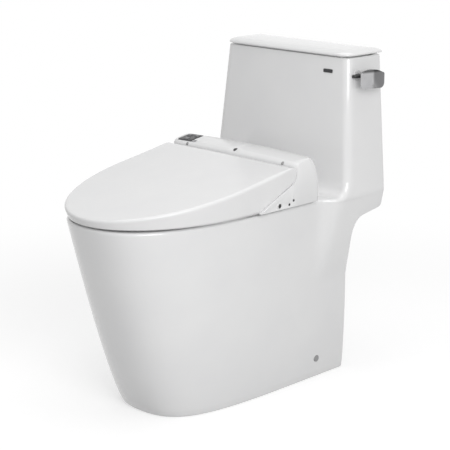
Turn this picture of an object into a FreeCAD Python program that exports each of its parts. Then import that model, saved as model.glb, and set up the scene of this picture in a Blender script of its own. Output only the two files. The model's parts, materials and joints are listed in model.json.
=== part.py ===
import FreeCAD, Part
import math
import os

os.makedirs("parts", exist_ok=True)

V = FreeCAD.Vector
RIGHT, BACK, UP = V(1, 0, 0), V(0, 1, 0), V(0, 0, 1)
LEFT, DOWN = V(-1, 0, 0), V(0, 0, -1)

# The frame: the origin is on the floor at the centre of the outlet, X to the
# right as seen from the front, Y towards the wall behind the tank, Z up.
# A setback is measured forward from the back of the tank, a drop down from the
# rim, a rise up from the rim, and an offset back from the hinge line.

# Shared clearances, overruns and the length that counts as close
seat_gap = 0.3
running_gap = 0.05
free_gap = 1.5
cut_over = 5.0
reach_over = 60.0
near = 1.0

# China pedestal, bowl rim and deck
outlet_to_back = 290.0
body_length = 700.0
rim_height = 433.5
rim_half_width = 178.8
rim_nose_run = 411.7
rim_nose_fullness = 2.8
foot_half_width = 133.1
foot_nose_setback = 136.9
foot_nose_run = 319.8
foot_nose_fullness = 3.1
flank_growth_power = 0.8
china_wall = 12.0
rim_depth = 36.0
foot_edge_radius = 4.0
bowl_side_ledge = 56.8
bowl_front_ledge = 47.0
bowl_back_ledge = 15.0
bowl_fullness = 2.2
bowl_edge_radius = 7.0
envelope_shares = (0.0, 0.14, 0.3, 0.45, 0.58, 0.7, 0.8, 0.9, 1.0)
tank_shares = (0.12, 0.3, 0.6, 1.0)
loft_degree = 2

# China tank over the back of the pedestal
tank_height = 734.0
tank_foot_half_width = 209.0
tank_top_half_width = 185.0
tank_foot_depth = 131.0
tank_top_depth = 111.0
tank_front_bow = 6.0
tank_edge_radius = 9.0
back_corner_radius = 10.0
tank_floor_drop = 8.5
deck_fillet_radius = 38.0
flare_depth = 193.5
flare_power = 1.2
deck_flare_back = 142.0
deck_flare_front = 200.0
bow_spare_share = 1.3

# Back of the pedestal and the underside of the tank
heel_setback = 47.0
heel_lean = 36.0
heel_middle_share = 0.45
heel_top_drop = 108.5
heel_pull_drop = 81.5
heel_pull_setback = 87.0
underside_front_drop = 50.5
underside_front_setback = 58.0
underside_back_drop = 42.5
underside_pull_setback = 82.0
underside_radius = 8.0

# Bowl basin and trapway
basin_wall = 10.0
basin_floor_height = 110.0
basin_level_shares = (1.0, 0.80, 0.59, 0.38, 0.20, 0.07, 0.0)
basin_width_shares = (1.0, 0.97, 0.85, 0.67, 0.48, 0.35, 0.28)
basin_front_shares = (0.0, 0.038, 0.139, 0.281, 0.423, 0.518, 0.547)
basin_back_shares = (0.0, 0.015, 0.068, 0.127, 0.163, 0.186, 0.21)
trap_bore_radius = 26.0
trap_wall = 8.0
trap_inlet_y, trap_inlet_rise = -112.0, 30.0
trap_dip_y, trap_dip_rise = -60.0, 8.0
trap_crown_y, trap_crown_drop = 62.0, 115.5
trap_knee_y, trap_knee_height = 90.0, 130.0
trap_drop_height = 70.0
trap_dip_radius = 40.0
trap_crown_radius = 42.0
trap_knee_radius = 60.0
trap_drop_radius = 50.0
outlet_seal_thickness = 9.0
outlet_seal_height = 14.0

# Water passage from the tank to the bowl, cast in the deck
passage_radius = 20.0
passage_drop = 29.5
passage_cheek = 14.0
passage_floor = 12.0
valve_well_radius = 27.0
valve_well_depth = 30.0
flush_setback = 75.0

# Side fixings that hold the pedestal to the floor
fixing_setback = 149.0
fixing_height = 48.0
fixing_cap_radius = 8.0
fixing_cap_thickness = 3.0
fixing_cap_sink = 2.0
fixing_cap_round = 1.0
fixing_screw_radius = 3.0
fixing_screw_length = 34.0
bracket_length = 60.0
bracket_foot_reach = 46.0
bracket_height = 70.0
bracket_thickness = 6.0
bracket_web_thickness = 5.0
anchor_half_spacing = 90.0
anchor_hole_radius = 4.5

# Tank lid
lid_gap = 1.2
lid_thickness = 15.0
lid_side_overhang = 3.0
lid_front_overhang = 4.0
lid_corner_radius = 30.0
lid_edge_radius = 5.5
lid_under_radius = 1.5
lid_rib_height = 7.0
lid_rib_width = 8.0
lid_rib_corner = 9.0
lid_rib_gap = 3.0
lid_pad_radius = 4.0
lid_pad_inset = 24.0
lid_pad_gap = 0.1

# Fill valve
fill_side_gap = 35.0
fill_setback = 43.0
fill_head_gap = 94.0
fill_thread_radius = 10.4
fill_hole_radius = 12.5
fill_bore_radius = 6.0
fill_tail_length = 36.0
fill_nipple_radius = 10.0
fill_nipple_length = 24.0
fill_flange_radius = 20.0
fill_flange_thickness = 5.0
fill_washer_thickness = 3.0
fill_spotface_depth = 0.45
fill_stem_radius = 13.0
fill_stop_radius = 17.0
fill_head_radius = 21.0
fill_head_height = 34.0
fill_head_round = 5.0
fill_lug_radius = 2.5
fill_nut_radius = 19.0
fill_nut_height = 11.0
fill_nut_flange = 3.7
nut_grip_setback = 2.5
float_radius = 27.0
float_height = 58.0
float_wall = 2.5
float_round = 5.0
float_rest_height = 20.0
float_gap = 2.0
refill_radius = 4.0
refill_bore_radius = 2.6
refill_rise = 14.0
refill_nipple_length = 9.0
refill_drop = 22.0
refill_straight = 26.0
refill_bend_radius = 24.0

# Flush tower, canister and plunger
flush_gasket_thickness = 2.5
tower_radius = 24.0
tower_wall = 3.0
tower_foot_radius = 35.0
tower_foot_height = 6.0
tower_seat_bore = 22.0
tower_spigot_radius = 26.0
tower_spigot_depth = 16.0
tower_leg_height = 46.0
tower_leg_width = 9.0
tower_leg_count = 4
tower_slot_low_share = 0.30
tower_slot_high_share = 0.83
tower_slot_count = 2
tower_top_gap = 68.0
tower_cap_thickness = 4.0
canister_radius = 14.0
canister_wall = 2.5
canister_headroom = 35.5
canister_disc_radius = 23.35
canister_seal_radius = 23.4
canister_seal_thickness = 5.0
canister_fin_width = 2.5
canister_fin_gap = 0.9
canister_fin_low_share = 0.44
canister_fin_high_share = 0.83
canister_fin_count = 3
plunger_radius = 6.0
plunger_skirt = 20.0
plunger_stop_radius = 9.0
plunger_stop_height = 3.0
plunger_button_radius = 15.0
plunger_button_height = 6.0
plunger_button_round = 1.5
plunger_drop = 12.0
plunger_spare = 1.0

# Flush lever on the right side of the tank
lever_setback = 84.0
lever_drop = 39.0
lever_bush_radius = 8.0
lever_bush_tail = 3.0
lever_flange_radius = 12.0
lever_flange_thickness = 2.5
lever_nut_radius = 14.0
lever_nut_thickness = 6.0
lever_face_margin = 1.0
lever_spindle_radius = 3.0
lever_stem_radius = 4.4
lever_stem_length = 21.0
lever_arm_x = 16.0
lever_arm_reach = 22.0
lever_arm_width = 9.0
lever_eye_wall = 4.0
lever_pad_length = 9.0
lever_pad_thickness = 4.0
lever_pad_half_width = 9.0
paddle_length = 69.0
paddle_height = 43.0
paddle_below_axis = 28.0
paddle_thickness = 10.4
paddle_front_thickness = 3.0
paddle_rear_thickness = 4.5
paddle_fold = 27.0
paddle_front_overhang = 16.0
paddle_knee = 5.0
paddle_front_drop = 3.5
paddle_rear_drop = 8.5
paddle_toe_rise = 3.0
paddle_crown_pull = 1.5
paddle_edge_radius = 1.2
paddle_front_corner = 5.0
paddle_rear_corner = 12.0
paddle_root = 2.0

# Seat lid: a tilted plane over a skirt that draws in towards the rim
cover_nose_overhang = 12.0
cover_side_overhang = 15.7
cover_nose_run = 280.0
cover_fullness = 2.03
cover_nose_rise = 21.9
cover_slope = 0.169
cover_bottom_rise = 5.0
cover_draw_in = 10.0
cover_nose_draw_in = 8.0
cover_wall = 3.5
cover_top_radius = 7.0
cover_flank_offset = -87.0

# Seat ring
ring_side_gap = 6.5
ring_nose_gap = 9.0
ring_bottom_rise = 5.5
ring_thickness = 18.0
ring_nose_thickness = 13.0
ring_hole_margin = 15.0
ring_hole_front_margin = 72.0
ring_hole_back_offset = -102.0
ring_hole_fullness = 2.1
ring_back_offset = -50.0
ring_rise_offset = -130.0
ring_rise = 24.0
ring_pull_low, ring_pull_high = 30.0, 15.0
ring_rise_pull_share = 0.8
ring_edge_radius = 6.0
ring_arm_width = 13.0
ring_lug_radius = 13.0
ring_arm_top_shares = (-0.5, 0.86)
ring_arm_low_shares = (0.6, -0.8)
ring_pad_radius = 8.0
ring_pad_shares = ((0.542, 0.771), (0.813, 0.257))
cover_pad_radius = 6.0
cover_pad_shares = ((0.569, 0.714), (0.759, 0.4))

# Hinge line: ring lug, bracket and lid lug side by side on each side
hinge_setback = 300.0
hinge_rise = 71.0
hinge_pin_radius = 5.0
hinge_side_gap = 3.0
ring_lug_inner = 121.0
bracket_width = 14.0
bracket_eye_radius = 11.0
bracket_toe_offset, bracket_heel_offset = -42.0, -14.0
bracket_tongue = 2.0
bracket_neck_shares = (-0.9, 0.3)
bracket_throat_share = 0.8
cover_lug_width = 12.0
cover_lug_radius = 11.0
cover_stalk_share = 0.6
cover_stalk_lean = 2.0

# Bidet housing behind the seat
housing_side_gap = 2.5
housing_bottom_rise = 4.5
housing_back_offset = 94.0
housing_top_offset = 66.0
housing_front_offset = 22.5
housing_face_offset = -7.0
housing_shoulder_rise = 36.5
housing_wall = 3.0
housing_top_drop = 0.8
housing_corner_radius = 9.0
housing_lip_radius = 1.5
housing_arm_width = 11.0
nozzle_bay_half_width = 44.0
nozzle_bay_offset = -40.0
nozzle_bay_step = 23.0
base_thickness = 3.0
plate_thickness = 3.6
plate_half_width = 92.0
plate_corner_radius = 5.0
plate_front_offset, plate_back_offset = 28.0, 82.0
plate_slot_travel = 4.0
bolt_half_spacing = 70.0
bolt_offset = 55.0
bolt_radius = 4.0
bolt_head_radius = 8.0
bolt_head_height = 4.0
bolt_slot_half_width = 1.0
bolt_tail = 22.0
deck_hole_radius = 7.5
sleeve_flange_radius = 12.0
sleeve_flange_thickness = 3.0
sleeve_setback = 3.0

# Wash nozzles and the guide that they slide in
nozzle_radius = 6.0
nozzle_slope = 25.0
nozzle_length = 112.0
nozzle_mouth_rise = 15.5
nozzle_mouth_setback = 2.0
nozzle_half_spacing = 10.0
nozzle_bore_radius = 2.0
nozzle_collar_step = 0.2
nozzle_collar_length = 4.0
nozzle_tip_length = 16.0
nozzle_tip_round = 3.0
nozzle_jet_radius = 0.9
rear_jet_count, front_jet_count = 3, 5
guide_length = 96.0
guide_wall = 2.2
guide_gap = 0.4
guide_setback = 8.0
guide_foot_thickness = 5.0
guide_foot_margin = 1.0
guide_foot_offsets = (-12.0, 23.0)

# Parts inside the housing
heater_radius = 22.0
heater_length = 84.0
heater_round = 5.5
heater_x = 62.0
heater_offset, heater_rise = 52.0, 33.5
heater_saddle_places = (22.0, 64.0)
heater_saddle_width = 8.0
heater_saddle_half_depth = 15.4
pump_x, pump_offset = -96.0, 54.0
pump_radius = 17.0
pump_height = 40.0
pump_motor_radius = 10.2
pump_motor_height = 14.0
pump_spout_length = 8.0
pump_spout_height = 10.0
valve_x, valve_offset = -160.0, 56.0
valve_length, valve_width, valve_height = 26.0, 34.0, 30.0
valve_corner_radius = 3.0
valve_coil_radius = 10.4
valve_coil_height = 14.0
board_length, board_width, board_thickness = 76.0, 44.0, 1.6
board_x, board_offset = -146.0, 52.0
board_post_inset, board_post_radius, board_post_height = 5.0, 3.0, 46.0
relay_height, socket_height, capacitor_height = 5.0, 6.0, 8.0
capacitor_radius = 5.0
relay_shares = (0.18, 0.45, 0.23, 0.59)
socket_shares = (0.58, 0.87, 0.14, 0.32)
capacitor_shares = (0.66, 0.68)
inlet_offset, inlet_rise = 72.0, 22.5
inlet_thread_radius = 10.4
inlet_neck_radius = 10.0
inlet_neck_spare = 0.5
inlet_bore_radius = 5.0
inlet_length = 15.0
inlet_flange_step, inlet_flange_thickness = 3.0, 3.0
gland_offset, gland_rise = 26.0, 20.5
gland_radius, gland_bore_radius, gland_length = 7.0, 3.6, 9.0
gland_flange_step, gland_flange_thickness = 2.0, 1.7
hose_radius, hose_bend_radius = 4.0, 16.0
hose_straight, hose_rise = 22.0, 4.0

# Controls and small parts on the outside of the housing
panel_side_margin, panel_width = 8.0, 43.0
panel_front_offset, panel_back_offset = 27.5, 64.0
panel_corner_radius = 2.0
panel_thickness, panel_proud = 2.4, 0.8
button_shares = ((-0.27, 0.26), (0.27, 0.26), (0.0, -0.27))
button_length, button_width, button_gap = 11.0, 8.0, 0.4
button_corner_radius = 1.0
button_proud, button_stem = 0.9, 4.0
window_gap, window_width = 1.0, 12.0
window_front_offset, window_back_offset = 27.5, 35.0
sensor_radius, sensor_offset = 4.0, 29.0
filter_offset, filter_rise = -31.0, 13.5
filter_ring_radius, filter_plug_radius = 6.8, 4.6
filter_slot_half_width = 0.8
drain_offsets = (12.0, -1.0)
drain_rises = (18.5, 11.5)
drain_radius = 2.6
plug_proud = 1.2
recess_gap = 0.1


# Laws of the form: how wide the china is, and how high the seat lid lies
def growth(height):
    return min(height / rim_height, 1.0) ** flank_growth_power


def flank_half_width(height):
    return foot_half_width + (rim_half_width - foot_half_width) * growth(height)


def rear_half_width(height):
    """Half the width at the back, which flares out under the tank."""
    if height > rim_height:
        rise = (height - rim_height) / (tank_height - rim_height)
        return tank_foot_half_width - (tank_foot_half_width - tank_top_half_width) * rise
    flank = flank_half_width(height)
    rise = max(height - flare_height, 0.0) / flare_depth
    return flank + (tank_foot_half_width - flank) * rise**flare_power


def cover_plane(y):
    return cover_nose_height + cover_slope * (y - cover_nose_y)


def housing_plane(y):
    return cover_plane(y) - housing_top_drop


def fullness_pull(fullness):
    """Pole distance that makes a quarter curve as full as a superellipse."""
    return (8 * 2 ** (-1 / fullness) - 4) / 3


# Heights and depths of the china that follow from the sizes above
back_y = outlet_to_back
nose_y = outlet_to_back - body_length
flare_height = rim_height - flare_depth
deck_underside = rim_height - rim_depth
tank_floor_height = rim_height - tank_floor_drop
heel_top_height = rim_height - heel_top_drop
heel_pull_height = rim_height - heel_pull_drop
underside_front_height = rim_height - underside_front_drop
underside_back_height = rim_height - underside_back_drop
passage_height = rim_height - passage_drop
tank_foot_y = back_y - tank_foot_depth
tank_top_y = back_y - tank_top_depth
flare_end_y = back_y - deck_flare_back
flare_start_y = back_y - deck_flare_front
trap_inlet_z = basin_floor_height + trap_inlet_rise
trap_dip_z = basin_floor_height + trap_dip_rise
trap_crown_z = rim_height - trap_crown_drop
trap_outer_radius = trap_bore_radius + trap_wall
lid_bottom = tank_height + lid_gap
lid_half_width = tank_top_half_width + lid_side_overhang

# Places in and on the tank
flush_y = back_y - flush_setback
fill_x = fill_side_gap - tank_top_half_width
fill_y = back_y - fill_setback
fill_height = tank_height - fill_head_gap
fill_seat = tank_floor_height + fill_washer_thickness
fill_spotface = underside_back_height - fill_spotface_depth
fill_tail_z = fill_spotface - fill_tail_length
refill_height = fill_height + refill_rise
tower_top_height = tank_height - tower_top_gap
tower_floor = tank_floor_height + flush_gasket_thickness
tower_seat = tower_floor + tower_foot_height
canister_low = tower_seat + canister_seal_thickness
canister_height = tower_top_height - plunger_skirt - canister_headroom - canister_low
plunger_top = tower_top_height + plunger_button_height + plunger_drop + plunger_spare
lever_y = back_y - lever_setback
lever_height = tank_height - lever_drop
lever_outer_face = rear_half_width(lever_height + lever_flange_radius) - seat_gap
lever_inner_face = rear_half_width(lever_height - lever_nut_radius) - china_wall + seat_gap
stem_start_x = lever_outer_face + lever_flange_thickness + seat_gap
stem_end_x = stem_start_x + lever_stem_length

# Places of the side fixings
fixing_y = back_y - fixing_setback
fixing_outer_x = flank_half_width(fixing_height)
fixing_inner_x = fixing_outer_x - china_wall - cut_over

# Hinge line, seat lid and ring
hinge_y = back_y - hinge_setback
hinge_z = rim_height + hinge_rise
bowl_half_width = rim_half_width - bowl_side_ledge
bowl_front_y = nose_y + bowl_front_ledge
bowl_back_y = hinge_y - bowl_back_ledge
bowl_length = bowl_back_y - bowl_front_y
cover_half_width = rim_half_width + cover_side_overhang
cover_bottom_half_width = cover_half_width - cover_draw_in
cover_nose_y = nose_y - cover_nose_overhang
cover_nose_height = rim_height + cover_nose_rise
cover_bottom_height = rim_height + cover_bottom_rise
cover_flank_end = hinge_y + cover_flank_offset
hinge_reach = (cover_plane(hinge_y) - hinge_z) / math.hypot(1, cover_slope)
ring_bottom_height = rim_height + ring_bottom_rise
ring_back_y = hinge_y + ring_back_offset
ring_rise_start = hinge_y + ring_rise_offset
bracket_inner = ring_lug_inner + ring_arm_width + hinge_side_gap
cover_lug_inner = bracket_inner + bracket_width + hinge_side_gap

# Housing, its controls and what it holds
housing_half_width = cover_half_width - housing_side_gap
side_wall_x = 2 * housing_wall - housing_half_width
housing_bottom_height = rim_height + housing_bottom_rise
housing_back_y = hinge_y + housing_back_offset
housing_top_back_y = hinge_y + housing_top_offset
housing_front_y = hinge_y + housing_front_offset
housing_face_y = hinge_y + housing_face_offset
housing_shoulder_height = rim_height + housing_shoulder_rise
nozzle_bay_front_y = hinge_y + nozzle_bay_offset
pocket_radius = hinge_reach + free_gap
base_bottom = rim_height + plate_thickness + 2 * seat_gap
inside_floor = base_bottom + base_thickness + seat_gap
bolt_y = hinge_y + bolt_offset
nozzle_mouth_z = rim_height + nozzle_mouth_rise
nozzle_turn = math.radians(nozzle_slope)
nozzle_fall = math.tan(nozzle_turn)
nozzle_heading = V(0, -math.cos(nozzle_turn), -math.sin(nozzle_turn))
panel_outer_x = panel_side_margin - housing_half_width
panel_inner_x = panel_outer_x + panel_width
panel_front_y, panel_back_y = hinge_y + panel_front_offset, hinge_y + panel_back_offset
window_outer_x = panel_inner_x + window_gap
window_inner_x = window_outer_x + window_width
window_front_y, window_back_y = hinge_y + window_front_offset, hinge_y + window_back_offset
sensor_y = hinge_y + sensor_offset
filter_y, filter_height = hinge_y + filter_offset, rim_height + filter_rise
drain_places = [(hinge_y + offset, rim_height + rise) for offset, rise in zip(drain_offsets, drain_rises)]


# Tools that the pieces are made with
def save(name, *solids):
    """Write one node: a single solid, or several alike in one file."""
    shape = solids[0] if len(solids) == 1 else Part.Compound(list(solids))
    for solid in shape.Solids:
        if not solid.isValid():
            print("not valid:", name)
    print(name, len(shape.Solids), round(shape.Volume))
    shape.exportStep("parts/" + name + ".step")


def whole(shape):
    """The one solid of a boolean result, with its seams taken out."""
    tidy = shape.removeSplitter()
    return max(tidy.Solids, key=lambda solid: solid.Volume)


def rod(start, direction, radius, length):
    return Part.makeCylinder(radius, length, start, direction)


def ring(start, direction, outer, inner, length):
    return rod(start, direction, outer, length).cut(rod(start, direction, inner, length))


def block(low_x, high_x, low_y, high_y, low_z, high_z):
    size = (high_x - low_x, high_y - low_y, high_z - low_z)
    return Part.makeBox(*size, V(low_x, low_y, low_z))


def extruded(wire, height):
    """A plan outline raised, or lowered, by a height."""
    return Part.Face(wire).extrude(V(0, 0, height))


def side_prism(edges, low_x, high_x):
    """Sweep a closed outline, drawn in Y and Z, from one X to another."""
    face = Part.Face(Part.Wire(edges))
    face.translate(V(low_x, 0, 0))
    return face.extrude(V(high_x - low_x, 0, 0))


def side_polygon(points, low_x, high_x):
    corners = [V(0, y, z) for y, z in points]
    return side_prism(Part.makePolygon(corners + corners[:1]).Edges, low_x, high_x)


def both_sides(shape):
    return [shape, shape.mirror(V(0, 0, 0), RIGHT)]


def lowest_x(side, inner, width):
    """Where a piece that starts at inner, on either side, has its lowest X."""
    return inner if side > 0 else -inner - width


def line(start, end):
    return Part.LineSegment(start, end).toShape()


def arc(start, middle, end):
    return Part.Arc(start, middle, end).toShape()


def bezier(*poles):
    curve = Part.BezierCurve()
    curve.setPoles(list(poles))
    return curve.toShape()


def corner_arc(start, corner, end):
    """A round corner between two equal tangents that meet at the corner."""
    centre = start + end - corner
    middle = centre + (corner - centre).normalize() * (start - centre).Length
    return arc(start, middle, end)


def soften(shape, edges, radius):
    """Round the edges, or leave them sharp and say so."""
    try:
        done = shape.makeFillet(radius, edges)
        if done.isValid():
            return done
    except Part.OCCError:
        pass
    print("fillet left sharp:", len(edges), "edges at", radius)
    return shape


def edges_where(shape, test):
    """Edges whose box, taken through their ends and middle, passes a test."""
    found = []
    for edge in shape.Edges:
        middle = edge.valueAt((edge.FirstParameter + edge.LastParameter) / 2)
        box = FreeCAD.BoundBox(*middle, *middle)
        for vertex in edge.Vertexes:
            box.add(vertex.Point)
        if len(edge.Vertexes) == 1:
            box = edge.BoundBox
        if test(box):
            found.append(edge)
    return found


def flat_at(box, height):
    return abs(box.ZMin - height) < seat_gap and abs(box.ZMax - height) < seat_gap


def oval(half_width, low_y, high_y, height, fullness):
    """A closed plan curve of four full quarter curves."""
    pull = fullness_pull(fullness)
    middle = (low_y + high_y) / 2

    def quarter(x, y):
        return [V(x, middle, height), V(x, middle + pull * (y - middle), height),
                V(x * pull, y, height), V(0, y, height)]

    right_front = quarter(half_width, low_y)
    left_front = quarter(-half_width, low_y)
    left_back = quarter(-half_width, high_y)
    right_back = quarter(half_width, high_y)
    return Part.Wire([
        bezier(*right_front), bezier(*left_front[::-1]),
        bezier(*left_back), bezier(*right_back[::-1]),
    ])


def rounded_path(start, corners, end):
    """Straight runs from start to end, joined by tangent arcs at the corners."""
    points = [start] + [corner for corner, _ in corners] + [end]
    edges, last = [], start
    for place, (corner, radius) in enumerate(corners, start=1):
        before = (points[place - 1] - corner).normalize()
        after = (points[place + 1] - corner).normalize()
        half = before.getAngle(after) / 2
        leave = radius / math.tan(half)
        inward = (before + after).normalize()
        middle = corner + inward * (radius / math.sin(half) - radius)
        edges.append(line(last, corner + before * leave))
        edges.append(arc(corner + before * leave, middle, corner + after * leave))
        last = corner + after * leave
    edges.append(line(last, end))
    return Part.Wire(edges)


def pipe(path, radius):
    first = path.Edges[0]
    start = first.valueAt(first.FirstParameter)
    heading = first.tangentAt(first.FirstParameter)
    circle = Part.Wire(Part.Circle(start, heading, radius).toShape())
    return path.makePipeShell([circle], True, False)


def hexagon(centre, direction, across, height):
    """The blank of a nut: six flats, each as far from the middle as across says."""
    radius = across / math.cos(math.pi / 6)
    side = RIGHT if direction.z else BACK
    other = direction.cross(side)
    corners = []
    for n in range(6):
        turn = n * math.pi / 3
        corners.append(centre + side * (radius * math.cos(turn)) + other * (radius * math.sin(turn)))
    return Part.Face(Part.makePolygon(corners + corners[:1])).extrude(direction * height)


# Envelope of the china: one run of plan sections from the floor to the tank top
def plan_section(height, inset):
    """Outline of the china in plan at one height, drawn in by a wall."""
    share = growth(height)
    flank = flank_half_width(height) - inset
    rear = rear_half_width(height) - inset
    nose = nose_y + foot_nose_setback * (1 - share) + inset
    run = foot_nose_run + (rim_nose_run - foot_nose_run) * share
    fullness = foot_nose_fullness + (rim_nose_fullness - foot_nose_fullness) * share
    pull = fullness_pull(fullness)
    turn = nose - inset + run
    back = back_y - inset
    swing = (flare_end_y - flare_start_y) / 2
    turned = max(back_corner_radius - inset, back_corner_radius / 2)
    bulge = turned * (1 - math.sqrt(0.5))

    def at(x, y):
        return V(x, y, height)

    return Part.Wire([
        line(at(-rear + turned, back), at(rear - turned, back)),
        arc(at(rear - turned, back), at(rear - bulge, back - bulge), at(rear, back - turned)),
        line(at(rear, back - turned), at(rear, flare_end_y)),
        bezier(at(rear, flare_end_y), at(rear, flare_end_y - swing),
               at(flank, flare_start_y + swing), at(flank, flare_start_y)),
        line(at(flank, flare_start_y), at(flank, turn)),
        bezier(at(flank, turn), at(flank, turn - pull * (turn - nose)),
               at(flank * pull, nose), at(0, nose)),
        bezier(at(0, nose), at(-flank * pull, nose),
               at(-flank, turn - pull * (turn - nose)), at(-flank, turn)),
        line(at(-flank, turn), at(-flank, flare_start_y)),
        bezier(at(-flank, flare_start_y), at(-flank, flare_start_y + swing),
               at(-rear, flare_end_y - swing), at(-rear, flare_end_y)),
        line(at(-rear, flare_end_y), at(-rear, back - turned)),
        arc(at(-rear, back - turned), at(-rear + bulge, back - bulge), at(-rear + turned, back)),
    ])


def envelope(inset):
    heights = [share * rim_height for share in envelope_shares]
    heights += [rim_height + share * (tank_height - rim_height) for share in tank_shares]
    sections = [plan_section(height, inset) for height in heights]
    return Part.makeLoft(sections, True, False, False, loft_degree)


def heel_arc(inset):
    """The back of the pedestal in side view, hollow between floor and waist."""
    foot = back_y - heel_setback - inset
    middle = V(0, foot - heel_lean * heel_middle_share, heel_top_height / 2)
    return arc(V(0, foot, 0), middle, V(0, foot - heel_lean, heel_top_height))


def front_mass():
    """All that lies behind the tank's bowed front and under the deck."""
    far_front = nose_y - reach_over
    split_y = back_y - heel_setback - heel_lean - cut_over
    fillet_start = tank_foot_y - deck_fillet_radius
    foot_front = tank_foot_y - tank_front_bow
    top_front = tank_top_y - tank_front_bow
    fillet_top = rim_height + deck_fillet_radius
    edges = [
        line(V(0, far_front, 0), V(0, split_y, 0)),
        line(V(0, split_y, 0), V(0, split_y, tank_height)),
        line(V(0, split_y, tank_height), V(0, top_front, tank_height)),
        line(V(0, top_front, tank_height), V(0, foot_front, fillet_top)),
        bezier(V(0, foot_front, fillet_top), V(0, foot_front, rim_height + deck_fillet_radius / 3),
               V(0, fillet_start + deck_fillet_radius / 2, rim_height), V(0, fillet_start, rim_height)),
        line(V(0, fillet_start, rim_height), V(0, far_front, rim_height)),
        line(V(0, far_front, rim_height), V(0, far_front, 0)),
    ]
    bow_radius = tank_foot_half_width**2 / (2 * tank_front_bow)
    sweep = 2 * math.degrees(tank_foot_half_width * bow_spare_share / bow_radius)
    pivot = V(0, tank_foot_y + bow_radius, 0)
    face = Part.Face(Part.Wire(edges))
    face.rotate(pivot, UP, -sweep / 2)
    return face.revolve(pivot, UP, sweep)


def rear_mass():
    """The back: hollow heel, the tank's underside and its back."""
    front = back_y - heel_setback - heel_lean - 2 * cut_over
    waist = V(0, back_y - heel_setback - heel_lean, heel_top_height)
    under_front = V(0, back_y - underside_front_setback, underside_front_height)
    under_back = V(0, back_y - underside_radius, underside_back_height)
    wall_foot = V(0, back_y, underside_back_height + underside_radius)
    edges = [
        heel_arc(0.0),
        bezier(waist, V(0, back_y - heel_pull_setback, heel_pull_height),
               V(0, back_y - underside_pull_setback, underside_front_height - underside_radius / 2),
               under_front),
        line(under_front, under_back),
        corner_arc(under_back, V(0, back_y, underside_back_height), wall_foot),
        line(wall_foot, V(0, back_y, tank_height)),
        line(V(0, back_y, tank_height), V(0, front, tank_height)),
        line(V(0, front, tank_height), V(0, front, 0)),
        line(V(0, front, 0), V(0, back_y - heel_setback, 0)),
    ]
    span = tank_foot_half_width + reach_over
    return side_prism(edges, -span, span)


# Bowl and trapway
def basin_form(wall):
    """The bowl's inside, or its outside when a wall is given."""
    depth = deck_underside - basin_floor_height
    sections = []
    for level, width, front, rear in zip(
            basin_level_shares, basin_width_shares, basin_front_shares, basin_back_shares):
        height = basin_floor_height + level * depth - wall * (level == 0)
        sections.append(oval(
            width * bowl_half_width + wall,
            bowl_front_y + front * bowl_length - wall,
            bowl_back_y - rear * bowl_length + wall,
            height, bowl_fullness))
    return Part.makeLoft(sections, True)


def trap_path():
    """Centre line of the trapway: up over the crown and down to the outlet."""
    corners = [
        (V(0, trap_dip_y, trap_dip_z), trap_dip_radius),
        (V(0, trap_crown_y, trap_crown_z), trap_crown_radius),
        (V(0, trap_knee_y, trap_knee_height), trap_knee_radius),
        (V(0, 0, trap_drop_height), trap_drop_radius),
    ]
    return rounded_path(V(0, trap_inlet_y, trap_inlet_z), corners, V(0, 0, 0))


def passage_bore(length):
    return rod(V(0, bowl_back_y - china_wall, passage_height), BACK, passage_radius, length)


def bowl_basin():
    """The bowl under the rim, with the trapway's and the passage's holes."""
    basin = basin_form(basin_wall).cut(basin_form(0.0))
    basin = basin.cut(pipe(trap_path(), trap_bore_radius))
    return whole(basin.cut(passage_bore(flush_y - bowl_back_y)))


def trapway():
    path = trap_path()
    tube = pipe(path, trap_outer_radius).cut(pipe(path, trap_bore_radius))
    return whole(tube.cut(basin_form(basin_wall)))


def outlet_seal():
    inner = trap_outer_radius + seat_gap
    return ring(V(0, 0, 0), UP, inner + outlet_seal_thickness, inner, outlet_seal_height)


# The casting
def pedestal_void(inner):
    """The hollow under the deck, with the water passage's duct left standing."""
    far_front = nose_y - reach_over
    foot = back_y - heel_setback - china_wall
    waist = foot - heel_lean
    edges = [
        line(V(0, far_front, -cut_over), V(0, foot, -cut_over)),
        line(V(0, foot, -cut_over), V(0, foot, 0)),
        heel_arc(china_wall),
        line(V(0, waist, heel_top_height), V(0, waist, deck_underside)),
        line(V(0, waist, deck_underside), V(0, far_front, deck_underside)),
        line(V(0, far_front, deck_underside), V(0, far_front, -cut_over)),
    ]
    below = extruded(plan_section(0.0, china_wall), -cut_over)
    span = tank_foot_half_width
    void = inner.fuse(below).common(side_prism(edges, -span, span))
    duct_half = passage_radius + passage_cheek
    duct = block(-duct_half, duct_half, bowl_back_y, foot,
                 passage_height - passage_radius - passage_floor, deck_underside)
    return void.cut(duct.cut(basin_form(basin_wall)))


def tank_void(inner):
    """The tank's water space, open at the top."""
    lean = (tank_foot_depth - tank_top_depth) / (tank_height - rim_height)
    low_front = tank_foot_y + china_wall + lean * (tank_floor_height - rim_height)
    high_front = tank_top_y + china_wall + lean * cut_over
    span = tank_foot_half_width
    cavity = side_polygon([
        (low_front, tank_floor_height), (back_y, tank_floor_height),
        (back_y, tank_height + cut_over), (high_front, tank_height + cut_over)], -span, span)
    above = extruded(plan_section(tank_height, china_wall), 2 * cut_over)
    return whole(inner.fuse(above).common(cavity))


def cut_mouth(body):
    """The bowl's mouth through the deck, with a rounded lip."""
    outline = oval(bowl_half_width, bowl_front_y, bowl_back_y, deck_underside - cut_over, bowl_fullness)
    body = body.cut(extruded(outline, rim_depth + 2 * cut_over))
    lip = edges_where(body, lambda box: flat_at(box, rim_height)
                      and box.XMax <= bowl_half_width + near and box.XMin >= -bowl_half_width - near
                      and box.YMax <= bowl_back_y + near)
    return soften(body, lip, bowl_edge_radius)


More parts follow.
